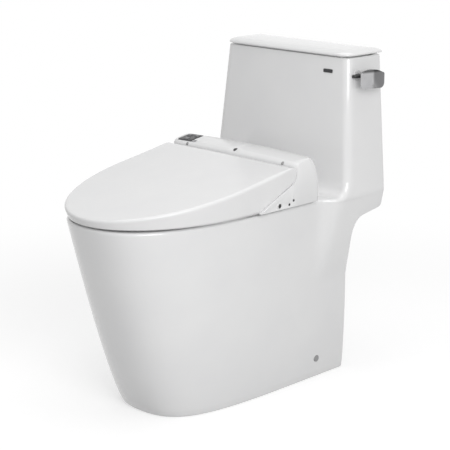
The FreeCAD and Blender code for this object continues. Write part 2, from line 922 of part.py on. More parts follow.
def valve_holes():
    """What is bored for the flush valve, the fill valve and the seat's bolts."""
    through_deck = rim_depth + 2 * cut_over
    holes = [
        passage_bore(flush_y - bowl_back_y),
        rod(V(0, flush_y, tank_floor_height - valve_well_depth), UP, valve_well_radius,
            valve_well_depth + cut_over),
        rod(V(fill_x, fill_y, underside_front_height - cut_over), UP, fill_hole_radius,
            through_deck + cut_over),
        rod(V(fill_x, fill_y, fill_spotface), DOWN, fill_nut_radius + free_gap, 2 * fill_nut_height),
    ]
    for x in (-bolt_half_spacing, bolt_half_spacing):
        holes.append(rod(V(x, bolt_y, deck_underside - cut_over), UP, deck_hole_radius, through_deck))
    return holes


def lever_holes():
    """The lever's hole through the tank's side, with a flat face on each end."""
    inside = V(lever_inner_face, lever_y, lever_height)
    outside = V(lever_outer_face, lever_y, lever_height)
    length = lever_outer_face - lever_inner_face + 2 * cut_over
    return [
        rod(inside, LEFT, lever_nut_radius + lever_face_margin, china_wall),
        rod(outside, RIGHT, lever_flange_radius + lever_face_margin, china_wall),
        rod(inside - RIGHT * cut_over, RIGHT, lever_bush_radius + seat_gap, length),
    ]


def fixing_holes():
    holes = []
    for side in (1, -1):
        start = V(side * fixing_inner_x, fixing_y, fixing_height)
        cap_floor = V(side * (fixing_outer_x - fixing_cap_sink), fixing_y, fixing_height)
        holes.append(rod(start, RIGHT * side, fixing_screw_radius + seat_gap, 2 * china_wall))
        holes.append(rod(cap_floor, RIGHT * side, fixing_cap_radius + seat_gap, china_wall))
    return holes


def china_body():
    """Pedestal, rim, deck and tank in one casting, hollow underneath."""
    form = whole(front_mass().fuse(rear_mass()))
    body = whole(envelope(0.0).common(form))
    upright = edges_where(body, lambda box: (
        box.ZMin > rim_height + deck_fillet_radius - near and box.ZLength > reach_over
        and box.YMax < back_y - reach_over and abs(box.Center.x) > reach_over))
    body = soften(body, upright, tank_edge_radius)
    body = soften(body, edges_where(body, lambda box: flat_at(box, 0)), foot_edge_radius)
    inner = envelope(china_wall)
    body = body.cut(pedestal_void(inner))
    body = body.cut(tank_void(inner))
    body = cut_mouth(body)
    for hole in valve_holes() + lever_holes() + fixing_holes():
        body = body.cut(hole)
    return whole(body)


# Floor fixings
def floor_brackets():
    """Two brackets inside the skirt, each a foot, an upright and two webs."""
    half = bracket_length / 2
    low_x = anchor_half_spacing - bracket_foot_reach / 2
    web_end = foot_half_width - china_wall
    upright_x = web_end - bracket_thickness - cut_over
    foot = block(low_x, foot_half_width, fixing_y - half, fixing_y + half, 0, bracket_thickness)
    upright = block(upright_x, foot_half_width + china_wall, fixing_y - half, fixing_y + half,
                    0, bracket_height)
    webs = []
    for side in (1, -1):
        y = fixing_y + side * (half - bracket_web_thickness)
        corners = [V(low_x + cut_over, y, bracket_thickness), V(web_end, y, bracket_thickness),
                   V(web_end, y, bracket_height - cut_over)]
        face = Part.Face(Part.makePolygon(corners + corners[:1]))
        webs.append(face.extrude(V(0, -side * bracket_web_thickness, 0)))
    bracket = foot.fuse([upright] + webs).common(envelope(china_wall + seat_gap))
    anchor = rod(V(anchor_half_spacing, fixing_y, -cut_over), UP, anchor_hole_radius, bracket_height)
    pilot = rod(V(0, fixing_y, fixing_height), RIGHT, fixing_screw_radius + seat_gap, 2 * foot_half_width)
    return both_sides(whole(bracket.cut(anchor).cut(pilot)))


def side_screws():
    start = V(fixing_outer_x - fixing_cap_sink - seat_gap, fixing_y, fixing_height)
    return both_sides(rod(start, LEFT, fixing_screw_radius, fixing_screw_length))


def side_caps():
    start = V(fixing_outer_x - fixing_cap_sink + seat_gap, fixing_y, fixing_height)
    cap = rod(start, RIGHT, fixing_cap_radius, fixing_cap_thickness)
    rim = edges_where(cap, lambda box: box.XMin > start.x + fixing_cap_thickness / 2)
    return both_sides(soften(cap, rim, fixing_cap_round))


# Tank lid
def rounded_plate(half_width, front, rear, corner, low, height):
    """A slab whose two front corners are rounded in plan."""
    plate = block(-half_width, half_width, front, rear, low, low + height)
    uprights = edges_where(plate, lambda box: box.ZLength > height / 2 and box.YMax < rear - near)
    return plate.makeFillet(corner, uprights)


def tank_lid():
    """Slab with rounded front corners and a locating rib that drops inside."""
    front = tank_top_y - tank_front_bow - lid_front_overhang
    slab = rounded_plate(lid_half_width, front, back_y, lid_corner_radius, lid_bottom, lid_thickness)
    top = edges_where(slab, lambda box: flat_at(box, lid_bottom + lid_thickness))
    slab = soften(slab, top, lid_edge_radius)
    slab = soften(slab, edges_where(slab, lambda box: flat_at(box, lid_bottom)), lid_under_radius)
    inset = china_wall + lid_rib_gap
    inner_inset = inset + lid_rib_width
    rib_low = lid_bottom - lid_rib_height
    outer = rounded_plate(tank_top_half_width - inset, tank_top_y + inset, back_y - inset, lid_rib_corner,
                          rib_low, lid_rib_height + near)
    inner = rounded_plate(tank_top_half_width - inner_inset, tank_top_y + inner_inset, back_y - inner_inset,
                          lid_rib_corner / 2, rib_low, lid_rib_height)
    return whole(slab.fuse(outer.cut(inner)))


def tank_lid_pads():
    pads = []
    for side in (1, -1):
        for y in (tank_top_y + china_wall / 2, back_y - china_wall / 2):
            start = V(side * (tank_top_half_width - lid_pad_inset), y, tank_height + lid_pad_gap)
            pads.append(rod(start, UP, lid_pad_radius, lid_gap - 2 * lid_pad_gap))
    return pads


# Fill valve
def fill_valve_body():
    """Stepped tail, flange, float stop and hollow stem of the fill valve."""
    base = V(fill_x, fill_y, fill_tail_z)
    seat = V(fill_x, fill_y, fill_seat)
    nipple = rod(base, UP, fill_nipple_radius, fill_nipple_length)
    shoulder = base + UP * fill_nipple_length
    tail = rod(shoulder, UP, fill_thread_radius, fill_seat - shoulder.z)
    flange = rod(seat, UP, fill_flange_radius, fill_flange_thickness)
    stem = rod(seat, UP, fill_stem_radius, fill_height - fill_seat)
    stop = rod(seat, UP, fill_stop_radius, fill_flange_thickness + float_rest_height - seat_gap)
    body = tail.fuse([nipple, flange, stem, stop])
    return whole(body.cut(rod(base, UP, fill_bore_radius, fill_height - fill_tail_z - cut_over)))


def fill_valve_cap():
    """Round head with a nipple for the refill tube and three twist lugs."""
    base = V(fill_x, fill_y, fill_height)
    head = rod(base, UP, fill_head_radius, fill_head_height)
    top = edges_where(head, lambda box: flat_at(box, fill_height + fill_head_height))
    head = soften(head, top, fill_head_round)
    nipple = rod(V(fill_x, fill_y, refill_height), RIGHT, refill_bore_radius,
                 fill_head_radius + refill_nipple_length)
    lugs = []
    for turn in (math.pi / 2, math.pi, 3 * math.pi / 2):
        spot = base + V(math.cos(turn), math.sin(turn), 0) * fill_head_radius
        lugs.append(rod(spot, UP, fill_lug_radius, fill_head_height / 2))
    return whole(head.fuse([nipple] + lugs))


def fill_valve_washer():
    return ring(V(fill_x, fill_y, tank_floor_height), UP, fill_flange_radius, fill_thread_radius + seat_gap,
                fill_washer_thickness)


def fill_valve_nut():
    start = V(fill_x, fill_y, fill_spotface)
    flange = rod(start, DOWN, fill_nut_radius, fill_nut_flange)
    grip = hexagon(start, DOWN, fill_nut_radius - nut_grip_setback, fill_nut_height)
    return whole(flange.fuse(grip).cut(rod(start, DOWN, fill_thread_radius + running_gap, fill_nut_height)))


def float_cup():
    """Open-topped cup that slides on the fill valve's stem."""
    base = V(fill_x, fill_y, fill_seat + fill_flange_thickness + float_rest_height)
    bore = fill_stem_radius + float_gap
    cup = rod(base, UP, float_radius, float_height)
    cup = soften(cup, edges_where(cup, lambda box: flat_at(box, base.z)), float_round)
    well = ring(base + UP * float_wall, UP, float_radius - float_wall, bore + float_wall, float_height)
    return whole(cup.cut(rod(base, UP, bore, float_height)).cut(well))


def refill_tube():
    """Bent tube from the fill valve's nipple to the side of the flush tower."""
    start = V(fill_x + fill_head_radius + seat_gap, fill_y, refill_height)
    end = V(-tower_radius - tower_wall - seat_gap, flush_y, refill_height - refill_drop)
    corners = [(start + RIGHT * refill_straight, refill_bend_radius),
               (end + LEFT * refill_straight, refill_bend_radius)]
    path = rounded_path(start, corners, end)
    return whole(pipe(path, refill_radius).cut(pipe(path, refill_bore_radius + running_gap)))


# Flush valve
def flush_valve_base():
    """Foot ring of the flush valve with a spigot that drops into the well."""
    foot = ring(V(0, flush_y, tower_floor), UP, tower_foot_radius, tower_seat_bore, tower_foot_height)
    spigot = ring(V(0, flush_y, tower_floor), DOWN, tower_spigot_radius, tower_seat_bore, tower_spigot_depth)
    return whole(foot.fuse(spigot))


def flush_valve_gasket():
    return ring(V(0, flush_y, tank_floor_height), UP, tower_foot_radius, tower_spigot_radius + seat_gap,
                flush_gasket_thickness)


def tower_windows(base, height):
    """Openings between the legs, and two long slots that show the canister."""
    windows = []
    half = tower_leg_width / 2
    far = 2 * tower_radius
    leg_top = tower_foot_height + tower_leg_height
    above = height - leg_top
    for leg in range(tower_leg_count):
        window = block(half, far, half, far, tower_foot_height, leg_top)
        window.rotate(V(0, 0, 0), UP, leg * 360 / tower_leg_count)
        windows.append(window)
    for slot in range(tower_slot_count):
        window = block(tower_radius - tower_wall, far, -half, half,
                       leg_top + above * tower_slot_low_share, leg_top + above * tower_slot_high_share)
        window.rotate(V(0, 0, 0), UP, 180 / tower_leg_count + slot * 360 / tower_slot_count)
        windows.append(window)
    for window in windows:
        window.translate(base)
    return Part.Compound(windows)


def flush_tower():
    """Caged cylinder over the flush valve, open low down between its legs."""
    base = V(0, flush_y, tower_seat)
    height = tower_top_height - tower_seat
    sleeve = ring(base, UP, tower_radius + tower_wall, tower_radius, height)
    cap = ring(base + UP * (height - tower_cap_thickness), UP, tower_radius, plunger_radius + seat_gap,
               tower_cap_thickness)
    nipple = rod(V(-tower_radius - tower_wall, flush_y, refill_height - refill_drop), RIGHT,
                 refill_bore_radius, 2 * tower_wall)
    return whole(sleeve.cut(tower_windows(base, height)).cut(nipple).fuse(cap))


def flush_canister():
    """Overflow tube with guide fins, which lifts the seal off its seat."""
    base = V(0, flush_y, canister_low)
    tube = rod(base, UP, canister_radius, canister_height)
    disc = rod(base, UP, canister_disc_radius, tower_wall)
    fins = []
    for n in range(canister_fin_count):
        fin = block(0, tower_radius - canister_fin_gap, -canister_fin_width / 2, canister_fin_width / 2,
                    canister_height * canister_fin_low_share, canister_height * canister_fin_high_share)
        fin.rotate(V(0, 0, 0), UP, n * 360 / canister_fin_count)
        fin.translate(base)
        fins.append(fin)
    body = tube.fuse([disc] + fins)
    return whole(body.cut(rod(base, UP, canister_radius - canister_wall, canister_height)))


def canister_seal():
    return ring(V(0, flush_y, tower_seat + seat_gap), UP, canister_seal_radius,
                canister_radius - canister_wall, canister_seal_thickness - seat_gap)


def flush_plunger():
    base = V(0, flush_y, tower_top_height - plunger_skirt)
    stem = rod(base, UP, plunger_radius, plunger_top - base.z)
    button = rod(V(0, flush_y, plunger_top), DOWN, plunger_button_radius, plunger_button_height)
    button = soften(button, edges_where(button, lambda box: flat_at(box, plunger_top)), plunger_button_round)
    stop = rod(base, UP, plunger_stop_radius, plunger_stop_height)
    return whole(stem.fuse([button, stop]))


# Flush lever
def lever_bush():
    """Flanged sleeve through the tank's side, which carries the spindle."""
    inner_end = lever_inner_face - lever_nut_thickness - lever_bush_tail
    start = V(inner_end, lever_y, lever_height)
    outside = V(lever_outer_face, lever_y, lever_height)
    flange = rod(outside, RIGHT, lever_flange_radius, lever_flange_thickness)
    barrel = rod(start, RIGHT, lever_bush_radius, lever_outer_face - inner_end)
    bore = rod(start, RIGHT, lever_spindle_radius + running_gap, 2 * reach_over)
    return whole(flange.fuse(barrel).cut(bore))


def lever_nut():
    start = V(lever_inner_face, lever_y, lever_height)
    nut = hexagon(start, LEFT, lever_nut_radius - nut_grip_setback, lever_nut_thickness)
    return whole(nut.cut(rod(start, LEFT, lever_bush_radius + running_gap, lever_nut_thickness)))


def lever_stem():
    """Black collar between the tank and the handle, bored for the spindle."""
    return ring(V(stem_start_x, lever_y, lever_height), RIGHT, lever_stem_radius,
                lever_spindle_radius + running_gap, lever_stem_length)


def paddle_outline(front, rear, low, high):
    """Side view of the paddle: an arched top and four rounded corners."""
    front_top, rear_top = high - paddle_front_drop, high - paddle_rear_drop
    front_low = low + paddle_toe_rise
    front_corner, rear_corner = paddle_front_corner, paddle_rear_corner
    middle = (front + rear) / 2
    return [
        line(V(0, front, front_low + front_corner), V(0, front, front_top - front_corner)),
        corner_arc(V(0, front, front_top - front_corner), V(0, front, front_top),
                   V(0, front + front_corner, front_top)),
        bezier(V(0, front + front_corner, front_top), V(0, middle - front_corner, high + paddle_crown_pull),
               V(0, middle + front_corner, high + paddle_crown_pull), V(0, rear - front_corner, rear_top)),
        corner_arc(V(0, rear - front_corner, rear_top), V(0, rear, rear_top),
                   V(0, rear, rear_top - front_corner)),
        line(V(0, rear, rear_top - front_corner), V(0, rear, low + rear_corner)),
        corner_arc(V(0, rear, low + rear_corner), V(0, rear, low), V(0, rear - rear_corner, low)),
        line(V(0, rear - rear_corner, low), V(0, front + front_corner, front_low)),
        corner_arc(V(0, front + front_corner, front_low), V(0, front, front_low),
                   V(0, front, front_low + front_corner)),
    ]


def flush_handle():
    """Cast paddle, bevelled towards its thin front and arched along its top."""
    front = lever_y - paddle_front_overhang
    fold, rear = front + paddle_fold, front + paddle_length
    inner, outer = stem_end_x, stem_end_x + paddle_thickness
    rear_inner = outer - paddle_rear_thickness
    plan = [V(inner, front, 0), V(inner + paddle_front_thickness, front, 0), V(outer, fold, 0),
            V(outer, rear, 0), V(rear_inner, rear, 0), V(rear_inner, fold + paddle_knee, 0),
            V(inner, fold - paddle_knee, 0)]
    low = lever_height - paddle_below_axis
    slab = extruded(Part.makePolygon(plan + plan[:1]), 2 * paddle_height)
    slab.translate(V(0, 0, low - paddle_height / 2))
    outline = paddle_outline(front, rear, low, low + paddle_height)
    paddle = whole(slab.common(side_prism(outline, inner - near, outer + near)))
    face_edges = edges_where(paddle, lambda box: box.XMin > inner + paddle_front_thickness - near / 2
                             and box.ZLength + box.YLength > near)
    paddle = soften(paddle, face_edges, paddle_edge_radius)
    spindle_end = lever_arm_x - lever_arm_width / 2
    spindle = rod(V(spindle_end, lever_y, lever_height), RIGHT, lever_spindle_radius,
                  stem_end_x + paddle_root - spindle_end)
    return whole(paddle.fuse(spindle))


def trip_arm():
    """Crank on the spindle's inner end that rests over the plunger."""
    eye_radius = lever_spindle_radius + lever_eye_wall
    low_x = lever_arm_x - lever_arm_width / 2
    high_x = low_x + lever_arm_width
    pad_z = plunger_top + seat_gap
    tip = lever_y + lever_arm_reach
    slant = eye_radius * math.sqrt(0.5)
    eye = rod(V(low_x, lever_y, lever_height), RIGHT, eye_radius, lever_arm_width)
    arm = side_polygon([
        (lever_y - eye_radius, lever_height), (lever_y + slant, lever_height + slant),
        (tip, pad_z + lever_pad_thickness), (tip, pad_z),
        (tip - lever_pad_length, pad_z), (lever_y, lever_height - eye_radius)], low_x, high_x)
    pad = side_polygon([
        (tip - lever_pad_length, pad_z), (tip, pad_z), (tip, pad_z + lever_pad_thickness),
        (tip - lever_pad_length, pad_z + lever_pad_thickness)], -lever_pad_half_width, high_x)
    hole = rod(V(0, lever_y, lever_height), RIGHT, lever_spindle_radius + running_gap, 2 * high_x)
    return whole(eye.fuse([arm, pad]).cut(hole))


# Seat lid and ring
def seat_outline(half_width, nose, run, height_of, inset=0.0):
    """Plan outline of the lid: a full nose and straight sides to the back."""
    pull = fullness_pull(cover_fullness)
    half = half_width - inset
    tip = nose + inset
    turn = nose + run
    rear = housing_back_y

    def at(x, y):
        return V(x, y, height_of(y))

    return Part.Wire([
        line(at(-half, rear), at(half, rear)),
        line(at(half, rear), at(half, turn)),
        bezier(at(half, turn), at(half, turn - pull * (turn - tip)), at(half * pull, tip), at(0, tip)),
        bezier(at(0, tip), at(-half * pull, tip), at(-half, turn - pull * (turn - tip)), at(-half, turn)),
        line(at(-half, turn), at(-half, rear)),
    ])


def cover_form(inset, sink):
    """Tapered form under the lid's tilted plane, before its side profile."""
    bottom = cover_bottom_height - sink
    low = seat_outline(cover_bottom_half_width, cover_nose_y + cover_nose_draw_in,
                       cover_nose_run - cover_nose_draw_in, lambda y: bottom, inset)
    high = seat_outline(cover_half_width, cover_nose_y, cover_nose_run,
                        lambda y: cover_plane(y) - inset, inset)
    return Part.makeLoft([low, high], True, True)


def flank_tangent(radius):
    """Where a line from the lid's back lower corner meets the hinge barrel."""
    rise = hinge_z - cover_bottom_height
    run = hinge_y - cover_flank_end
    distance = math.hypot(rise, run)
    turn = math.atan2(rise, run) - math.asin(radius / distance)
    reach = math.sqrt(distance**2 - radius**2)
    return cover_flank_end + reach * math.cos(turn), cover_bottom_height + reach * math.sin(turn)


def cover_profile(radius, sink):
    """Side view of the lid: tilted top, round barrel at the hinge, slanted flank."""
    tilt = math.atan(cover_slope)
    top = (hinge_y - radius * math.sin(tilt), hinge_z + radius * math.cos(tilt))
    low_y, low_z = flank_tangent(radius)
    front = cover_nose_y - cut_over
    front_top = top[1] + (front - top[0]) * cover_slope
    bottom = cover_bottom_height - sink
    return [
        line(V(0, front, bottom), V(0, front, front_top)),
        line(V(0, front, front_top), V(0, *top)),
        arc(V(0, *top), V(0, hinge_y + radius, hinge_z), V(0, low_y, low_z)),
        line(V(0, low_y, low_z), V(0, cover_flank_end, bottom)),
        line(V(0, cover_flank_end, bottom), V(0, front, bottom)),
    ]


def cover_lug(side):
    """Eye under the lid's top, beside a bracket, with its stalk."""
    low_x = lowest_x(side, cover_lug_inner, cover_lug_width)
    top = hinge_z + hinge_reach - cover_wall / 2
    back_y_of_stalk = hinge_y + cover_lug_radius * cover_stalk_share
    eye = rod(V(low_x, hinge_y, hinge_z), RIGHT, cover_lug_radius, cover_lug_width)
    stalk = side_polygon([
        (hinge_y - cover_lug_radius, hinge_z), (back_y_of_stalk, hinge_z),
        (back_y_of_stalk, top - near), (hinge_y - cover_lug_radius, top - near - cover_stalk_lean)],
        low_x, low_x + cover_lug_width)
    return eye.fuse(stalk)


def hinge_bore():
    return rod(V(-cover_half_width, hinge_y, hinge_z), RIGHT, hinge_pin_radius + running_gap,
               2 * cover_half_width)


def seat_lid():
    """Thin moulded lid: tilted top, tapered skirt, barrel and hinge lugs."""
    span = cover_half_width + cut_over
    outer = whole(cover_form(0.0, 0.0).common(side_prism(cover_profile(hinge_reach, 0.0), -span, span)))
    rim = edges_where(outer, lambda box: box.ZMin > cover_bottom_height + cut_over
                      and box.YMax < hinge_y + near
                      and box.XLength + box.YLength > reach_over and box.YLength > cut_over)
    outer = soften(outer, rim, cover_top_radius)
    inner_profile = side_prism(cover_profile(hinge_reach - cover_wall, cut_over), -span, span)
    inner = cover_form(cover_wall, cut_over).common(inner_profile)
    high = hinge_z + hinge_reach / 2
    window = side_polygon([
        (cover_flank_end - cut_over, cover_bottom_height - cut_over),
        (housing_back_y, cover_bottom_height - cut_over), (housing_back_y, high), (hinge_y, high),
        (hinge_y - hinge_reach, hinge_z - hinge_reach / 2)],
        -cover_bottom_half_width, cover_bottom_half_width)
    shell = whole(outer.cut(inner).cut(window))
    return whole(shell.fuse([cover_lug(1), cover_lug(-1)]).cut(hinge_bore().common(lug_zone())))


def lug_zone():
    """Room round the hinge line between the lid's two cheeks."""
    outer_end = cover_lug_inner + cover_lug_width
    return block(-outer_end, outer_end, hinge_y - hinge_reach, hinge_y + hinge_reach,
                 hinge_z - hinge_reach, hinge_z + hinge_reach)


def ring_profile():
    """Side view of the ring: flat in front, rising behind towards the hinge."""
    low, high = ring_bottom_height, ring_bottom_height + ring_thickness
    front = cover_nose_y - cut_over
    front_high = low + ring_nose_thickness
    leave, arrive = ring_rise_start + ring_pull_low, ring_back_y - ring_pull_high
    arrive_rise = ring_rise * ring_rise_pull_share
    return [
        line(V(0, front, low), V(0, front, front_high)),
        line(V(0, front, front_high), V(0, ring_rise_start, high)),
        bezier(V(0, ring_rise_start, high), V(0, leave, high), V(0, arrive, high + arrive_rise),
               V(0, ring_back_y, high + ring_rise)),
        line(V(0, ring_back_y, high + ring_rise), V(0, ring_back_y, low + ring_rise)),
        bezier(V(0, ring_back_y, low + ring_rise), V(0, arrive, low + arrive_rise), V(0, leave, low),
               V(0, ring_rise_start, low)),
        line(V(0, ring_rise_start, low), V(0, front, low)),
    ]


def ring_arm(side):
    """Arm from the back of the ring up to its eye on the hinge line."""
    low_x = lowest_x(side, ring_lug_inner, ring_arm_width)
    eye = rod(V(low_x, hinge_y, hinge_z), RIGHT, ring_lug_radius, ring_arm_width)
    low = ring_bottom_height + ring_rise
    top_y, top_z = [share * ring_lug_radius for share in ring_arm_top_shares]
    low_y, low_z = [share * ring_lug_radius for share in ring_arm_low_shares]
    arm = side_polygon([
        (ring_back_y - cut_over, low), (ring_back_y - cut_over, low + ring_thickness - near),
        (hinge_y + top_y, hinge_z + top_z), (hinge_y + low_y, hinge_z + low_z)],
        low_x, low_x + ring_arm_width)
    return eye.fuse(arm)


def seat_ring():
    """Sitting ring with a rounded section and two arms up to the hinge."""
    half = cover_bottom_half_width - ring_side_gap
    bottom = ring_bottom_height - cut_over
    tall = ring_thickness + ring_rise + 2 * cut_over
    outline = seat_outline(half, cover_nose_y + cover_nose_draw_in + ring_nose_gap,
                           cover_nose_run - cover_nose_draw_in, lambda y: bottom)
    hole = oval(bowl_half_width - ring_hole_margin, nose_y + ring_hole_front_margin,
                hinge_y + ring_hole_back_offset, bottom, ring_hole_fullness)
    slab = extruded(outline, tall).cut(extruded(hole, tall))
    body = whole(slab.common(side_prism(ring_profile(), -half - near, half + near)))
    top = edges_where(body, lambda box: box.ZMin > ring_bottom_height + ring_nose_thickness - near
                      and box.YMax < ring_rise_start + near and box.YLength > near)
    body = soften(body, top, ring_edge_radius)
    return whole(body.fuse([ring_arm(1), ring_arm(-1)]).cut(hinge_bore()))


def ring_spot(shares):
    """A place on the ring: a share of its half width, and of its way to the nose."""
    across, forward = shares
    return across * cover_bottom_half_width, ring_back_y + forward * (nose_y - ring_back_y)


def ring_pads():
    pads = []
    for shares in ring_pad_shares:
        x, y = ring_spot(shares)
        pad = rod(V(x, y, rim_height + seat_gap), UP, ring_pad_radius, ring_bottom_rise - seat_gap)
        pads += both_sides(pad)
    return pads


def cover_pads():
    """Soft stops between the lid's inside and the ring's top."""
    pads = []
    for shares in cover_pad_shares:
        x, y = ring_spot(shares)
        share = (y + cover_pad_radius - cover_nose_y) / (ring_rise_start - cover_nose_y)
        ring_top = ring_bottom_height + ring_nose_thickness + share * (ring_thickness - ring_nose_thickness)
        top = cover_plane(y) - cover_wall - cover_slope * cover_pad_radius
        base = ring_top + seat_gap
        pads += both_sides(rod(V(x, y, base), UP, cover_pad_radius, top - base))
    return pads


def hinge_pins():
    start = V(ring_lug_inner, hinge_y, hinge_z)
    return both_sides(rod(start, RIGHT, hinge_pin_radius, cover_lug_inner + cover_lug_width - ring_lug_inner))


# Bidet housing
def housing_back_edges(inset, bottom):
    """The housing's back from its bottom up to the top's front edge."""
    rear, top_rear = housing_back_y - inset, housing_top_back_y - inset
    top = housing_plane(top_rear) - inset
    front = housing_front_y + inset
    return [
        line(V(0, rear, bottom), V(0, rear, housing_shoulder_height)),
        bezier(V(0, rear, housing_shoulder_height), V(0, rear, (housing_shoulder_height + top) / 2),
               V(0, (rear + top_rear) / 2, top - housing_corner_radius / 2), V(0, top_rear, top)),
        line(V(0, top_rear, top), V(0, front, housing_plane(front) - inset)),
    ]


def pocket_point(radius, degrees):
    turn = math.radians(degrees)
    return V(0, hinge_y + radius * math.cos(turn), hinge_z + radius * math.sin(turn))


def housing_profile(inset, bottom, arms):
    """Side view of the housing; with arms, its flanks run forward under the lid."""
    front = housing_front_y + inset
    radius = pocket_radius + inset
    lip = math.degrees(math.acos(min((front - hinge_y) / radius, 1.0)))
    top_front = V(0, front, housing_plane(front) - inset)
    if arms:
        low_y, low_z = flank_tangent(radius)
        drop = math.degrees(math.atan2(low_z - hinge_z, low_y - hinge_y))
        tip_y = cover_flank_end + free_gap
        forward = [V(0, low_y, low_z), V(0, tip_y, cover_bottom_height + seat_gap), V(0, tip_y, bottom)]
    else:
        face = housing_face_y + inset
        drop = -90 - math.degrees(math.asin((hinge_y - face) / radius))
        forward = [pocket_point(radius, drop), V(0, face, bottom)]
    edges = housing_back_edges(inset, bottom)
    edges.append(line(top_front, pocket_point(radius, lip)))
    edges.append(arc(pocket_point(radius, lip), pocket_point(radius, (drop + lip) / 2), forward[0]))
    for start, end in zip(forward, forward[1:] + [V(0, housing_back_y - inset, bottom)]):
        edges.append(line(start, end))
    return edges


def bay_profile(inset, bottom):
    """Side view of the nose that holds the nozzles, between the ring's arms."""
    front = nozzle_bay_front_y + inset
    guide_rise = (nozzle_radius + guide_gap + guide_wall) / math.cos(nozzle_turn)
    roof = nozzle_mouth_z + guide_rise + seat_gap + housing_wall + inset * (nozzle_fall - 1)
    back = housing_face_y + nozzle_bay_step
    ceiling = hinge_z - pocket_radius - near
    knee = min(roof + (hinge_y - front) * nozzle_fall, ceiling)
    return [(front, bottom), (front, roof), (hinge_y, knee), (back, ceiling), (back, bottom)]


def housing_outside():
    """The housing's outer form: core, two flanks with arms, and the nozzle nose."""
    bottom = housing_bottom_height
    inner_face = housing_half_width - housing_arm_width
    core = side_prism(housing_profile(0.0, bottom, False), -inner_face, inner_face)
    flanks = []
    for low in (-housing_half_width, inner_face):
        flank = side_prism(housing_profile(0.0, bottom, True), low, low + housing_arm_width)
        outside = edges_where(flank, lambda box: box.YMin > housing_top_back_y - near
                              and abs(box.Center.x) > housing_half_width - near and box.ZLength > cut_over)
        flanks.append(soften(flank, outside, housing_corner_radius))
    bay = side_polygon(bay_profile(0.0, bottom), -nozzle_bay_half_width, nozzle_bay_half_width)
    outer = whole(core.fuse(flanks + [bay]))
    lip = edges_where(outer, lambda box: box.ZMin > housing_plane(housing_front_y) - near
                      and box.YMax < housing_front_y + near and box.XLength > reach_over)
    return soften(outer, lip, housing_lip_radius)


def housing_cover():
    """Moulded shell with a concave hinge pocket, side arms and a nozzle nose."""
    bottom = housing_bottom_height - cut_over
    wall = housing_wall
    hollow_half = -side_wall_x
    bay_half = nozzle_bay_half_width - wall
    hollow = side_prism(housing_profile(wall, bottom, False), -hollow_half, hollow_half)
    shell = housing_outside().cut(hollow.fuse(side_polygon(bay_profile(wall, bottom), -bay_half, bay_half)))
    mouth_half = 2 * nozzle_half_spacing + guide_wall
    shell = shell.cut(block(-mouth_half, mouth_half, nozzle_bay_front_y - cut_over,
                            nozzle_bay_front_y + 2 * cut_over, bottom,
                            nozzle_mouth_z + nozzle_radius + guide_wall))
    tongue = bracket_tongue + seat_gap
    for side in (1, -1):
        low_x = lowest_x(side, bracket_inner, bracket_width) - tongue
        shell = shell.cut(block(low_x, low_x + bracket_width + 2 * tongue, housing_face_y - cut_over,
                                housing_face_y + cut_over, bottom, base_bottom + base_thickness + seat_gap))
    return housing_recesses(shell)


def tilted_block(low_x, high_x, low_y, high_y, under, over):
    """A block whose top and bottom follow the housing's tilted top."""
    low, high = housing_plane(low_y), housing_plane(high_y)
    corners = [(low_y, low - under), (high_y, high - under), (high_y, high + over), (low_y, low + over)]
    return side_polygon(corners, low_x, high_x)


def flank_disc(y, height, radius, depth, proud):
    """A disc let into the right side of the housing."""
    return rod(V(housing_half_width - depth, y, height), RIGHT, radius, depth + proud)


def button_corner(place):
    across, along = button_shares[place]
    centre_x = (panel_outer_x + panel_inner_x) / 2 + across * (panel_inner_x - panel_outer_x)
    centre_y = (panel_front_y + panel_back_y) / 2 + along * (panel_back_y - panel_front_y)
    return centre_x - button_length / 2, centre_y - button_width / 2


def button_hole(place, under, over):
    x, y = button_corner(place)
    gap = button_gap
    return tilted_block(x - gap, x + button_length + gap, y - gap, y + button_width + gap, under, over)


def inlet_start():
    """The water inlet's inner end, just inside the housing's left wall."""
    x = side_wall_x + seat_gap + inlet_flange_thickness
    return V(x, hinge_y + inlet_offset, rim_height + inlet_rise)


def gland_start():
    return V(side_wall_x + seat_gap + gland_flange_thickness, hinge_y + gland_offset, rim_height + gland_rise)


def housing_recesses(shell):
    """Seats in the housing for the panel, window, sensor, plugs and inlets."""
    gap = seat_gap
    cuts = [
        tilted_block(panel_outer_x - gap, panel_inner_x + gap, panel_front_y - gap, panel_back_y + gap,
                     panel_thickness + recess_gap, reach_over),
        tilted_block(window_outer_x - gap, window_inner_x + gap, window_front_y - gap, window_back_y + gap,
                     panel_thickness + recess_gap, cut_over),
        rod(V(0, sensor_y, housing_plane(sensor_y) - panel_thickness - recess_gap), UP,
            sensor_radius + gap, reach_over),
        flank_disc(filter_y, filter_height, filter_ring_radius + gap, plug_proud + recess_gap, cut_over),
        flank_disc(filter_y, filter_height, filter_plug_radius + gap, 2 * plug_proud + recess_gap, cut_over),
        rod(inlet_start(), LEFT, inlet_thread_radius + gap, reach_over),
        rod(gland_start(), LEFT, gland_radius + gap / 2, reach_over),
    ]
    cuts += [button_hole(place, 3 * cut_over, cut_over) for place in range(len(button_shares))]
    cuts += [flank_disc(y, z, drain_radius + gap, 2 * plug_proud + recess_gap, cut_over)
             for y, z in drain_places]
    for cut in cuts:
        shell = shell.cut(cut)
    return whole(shell)


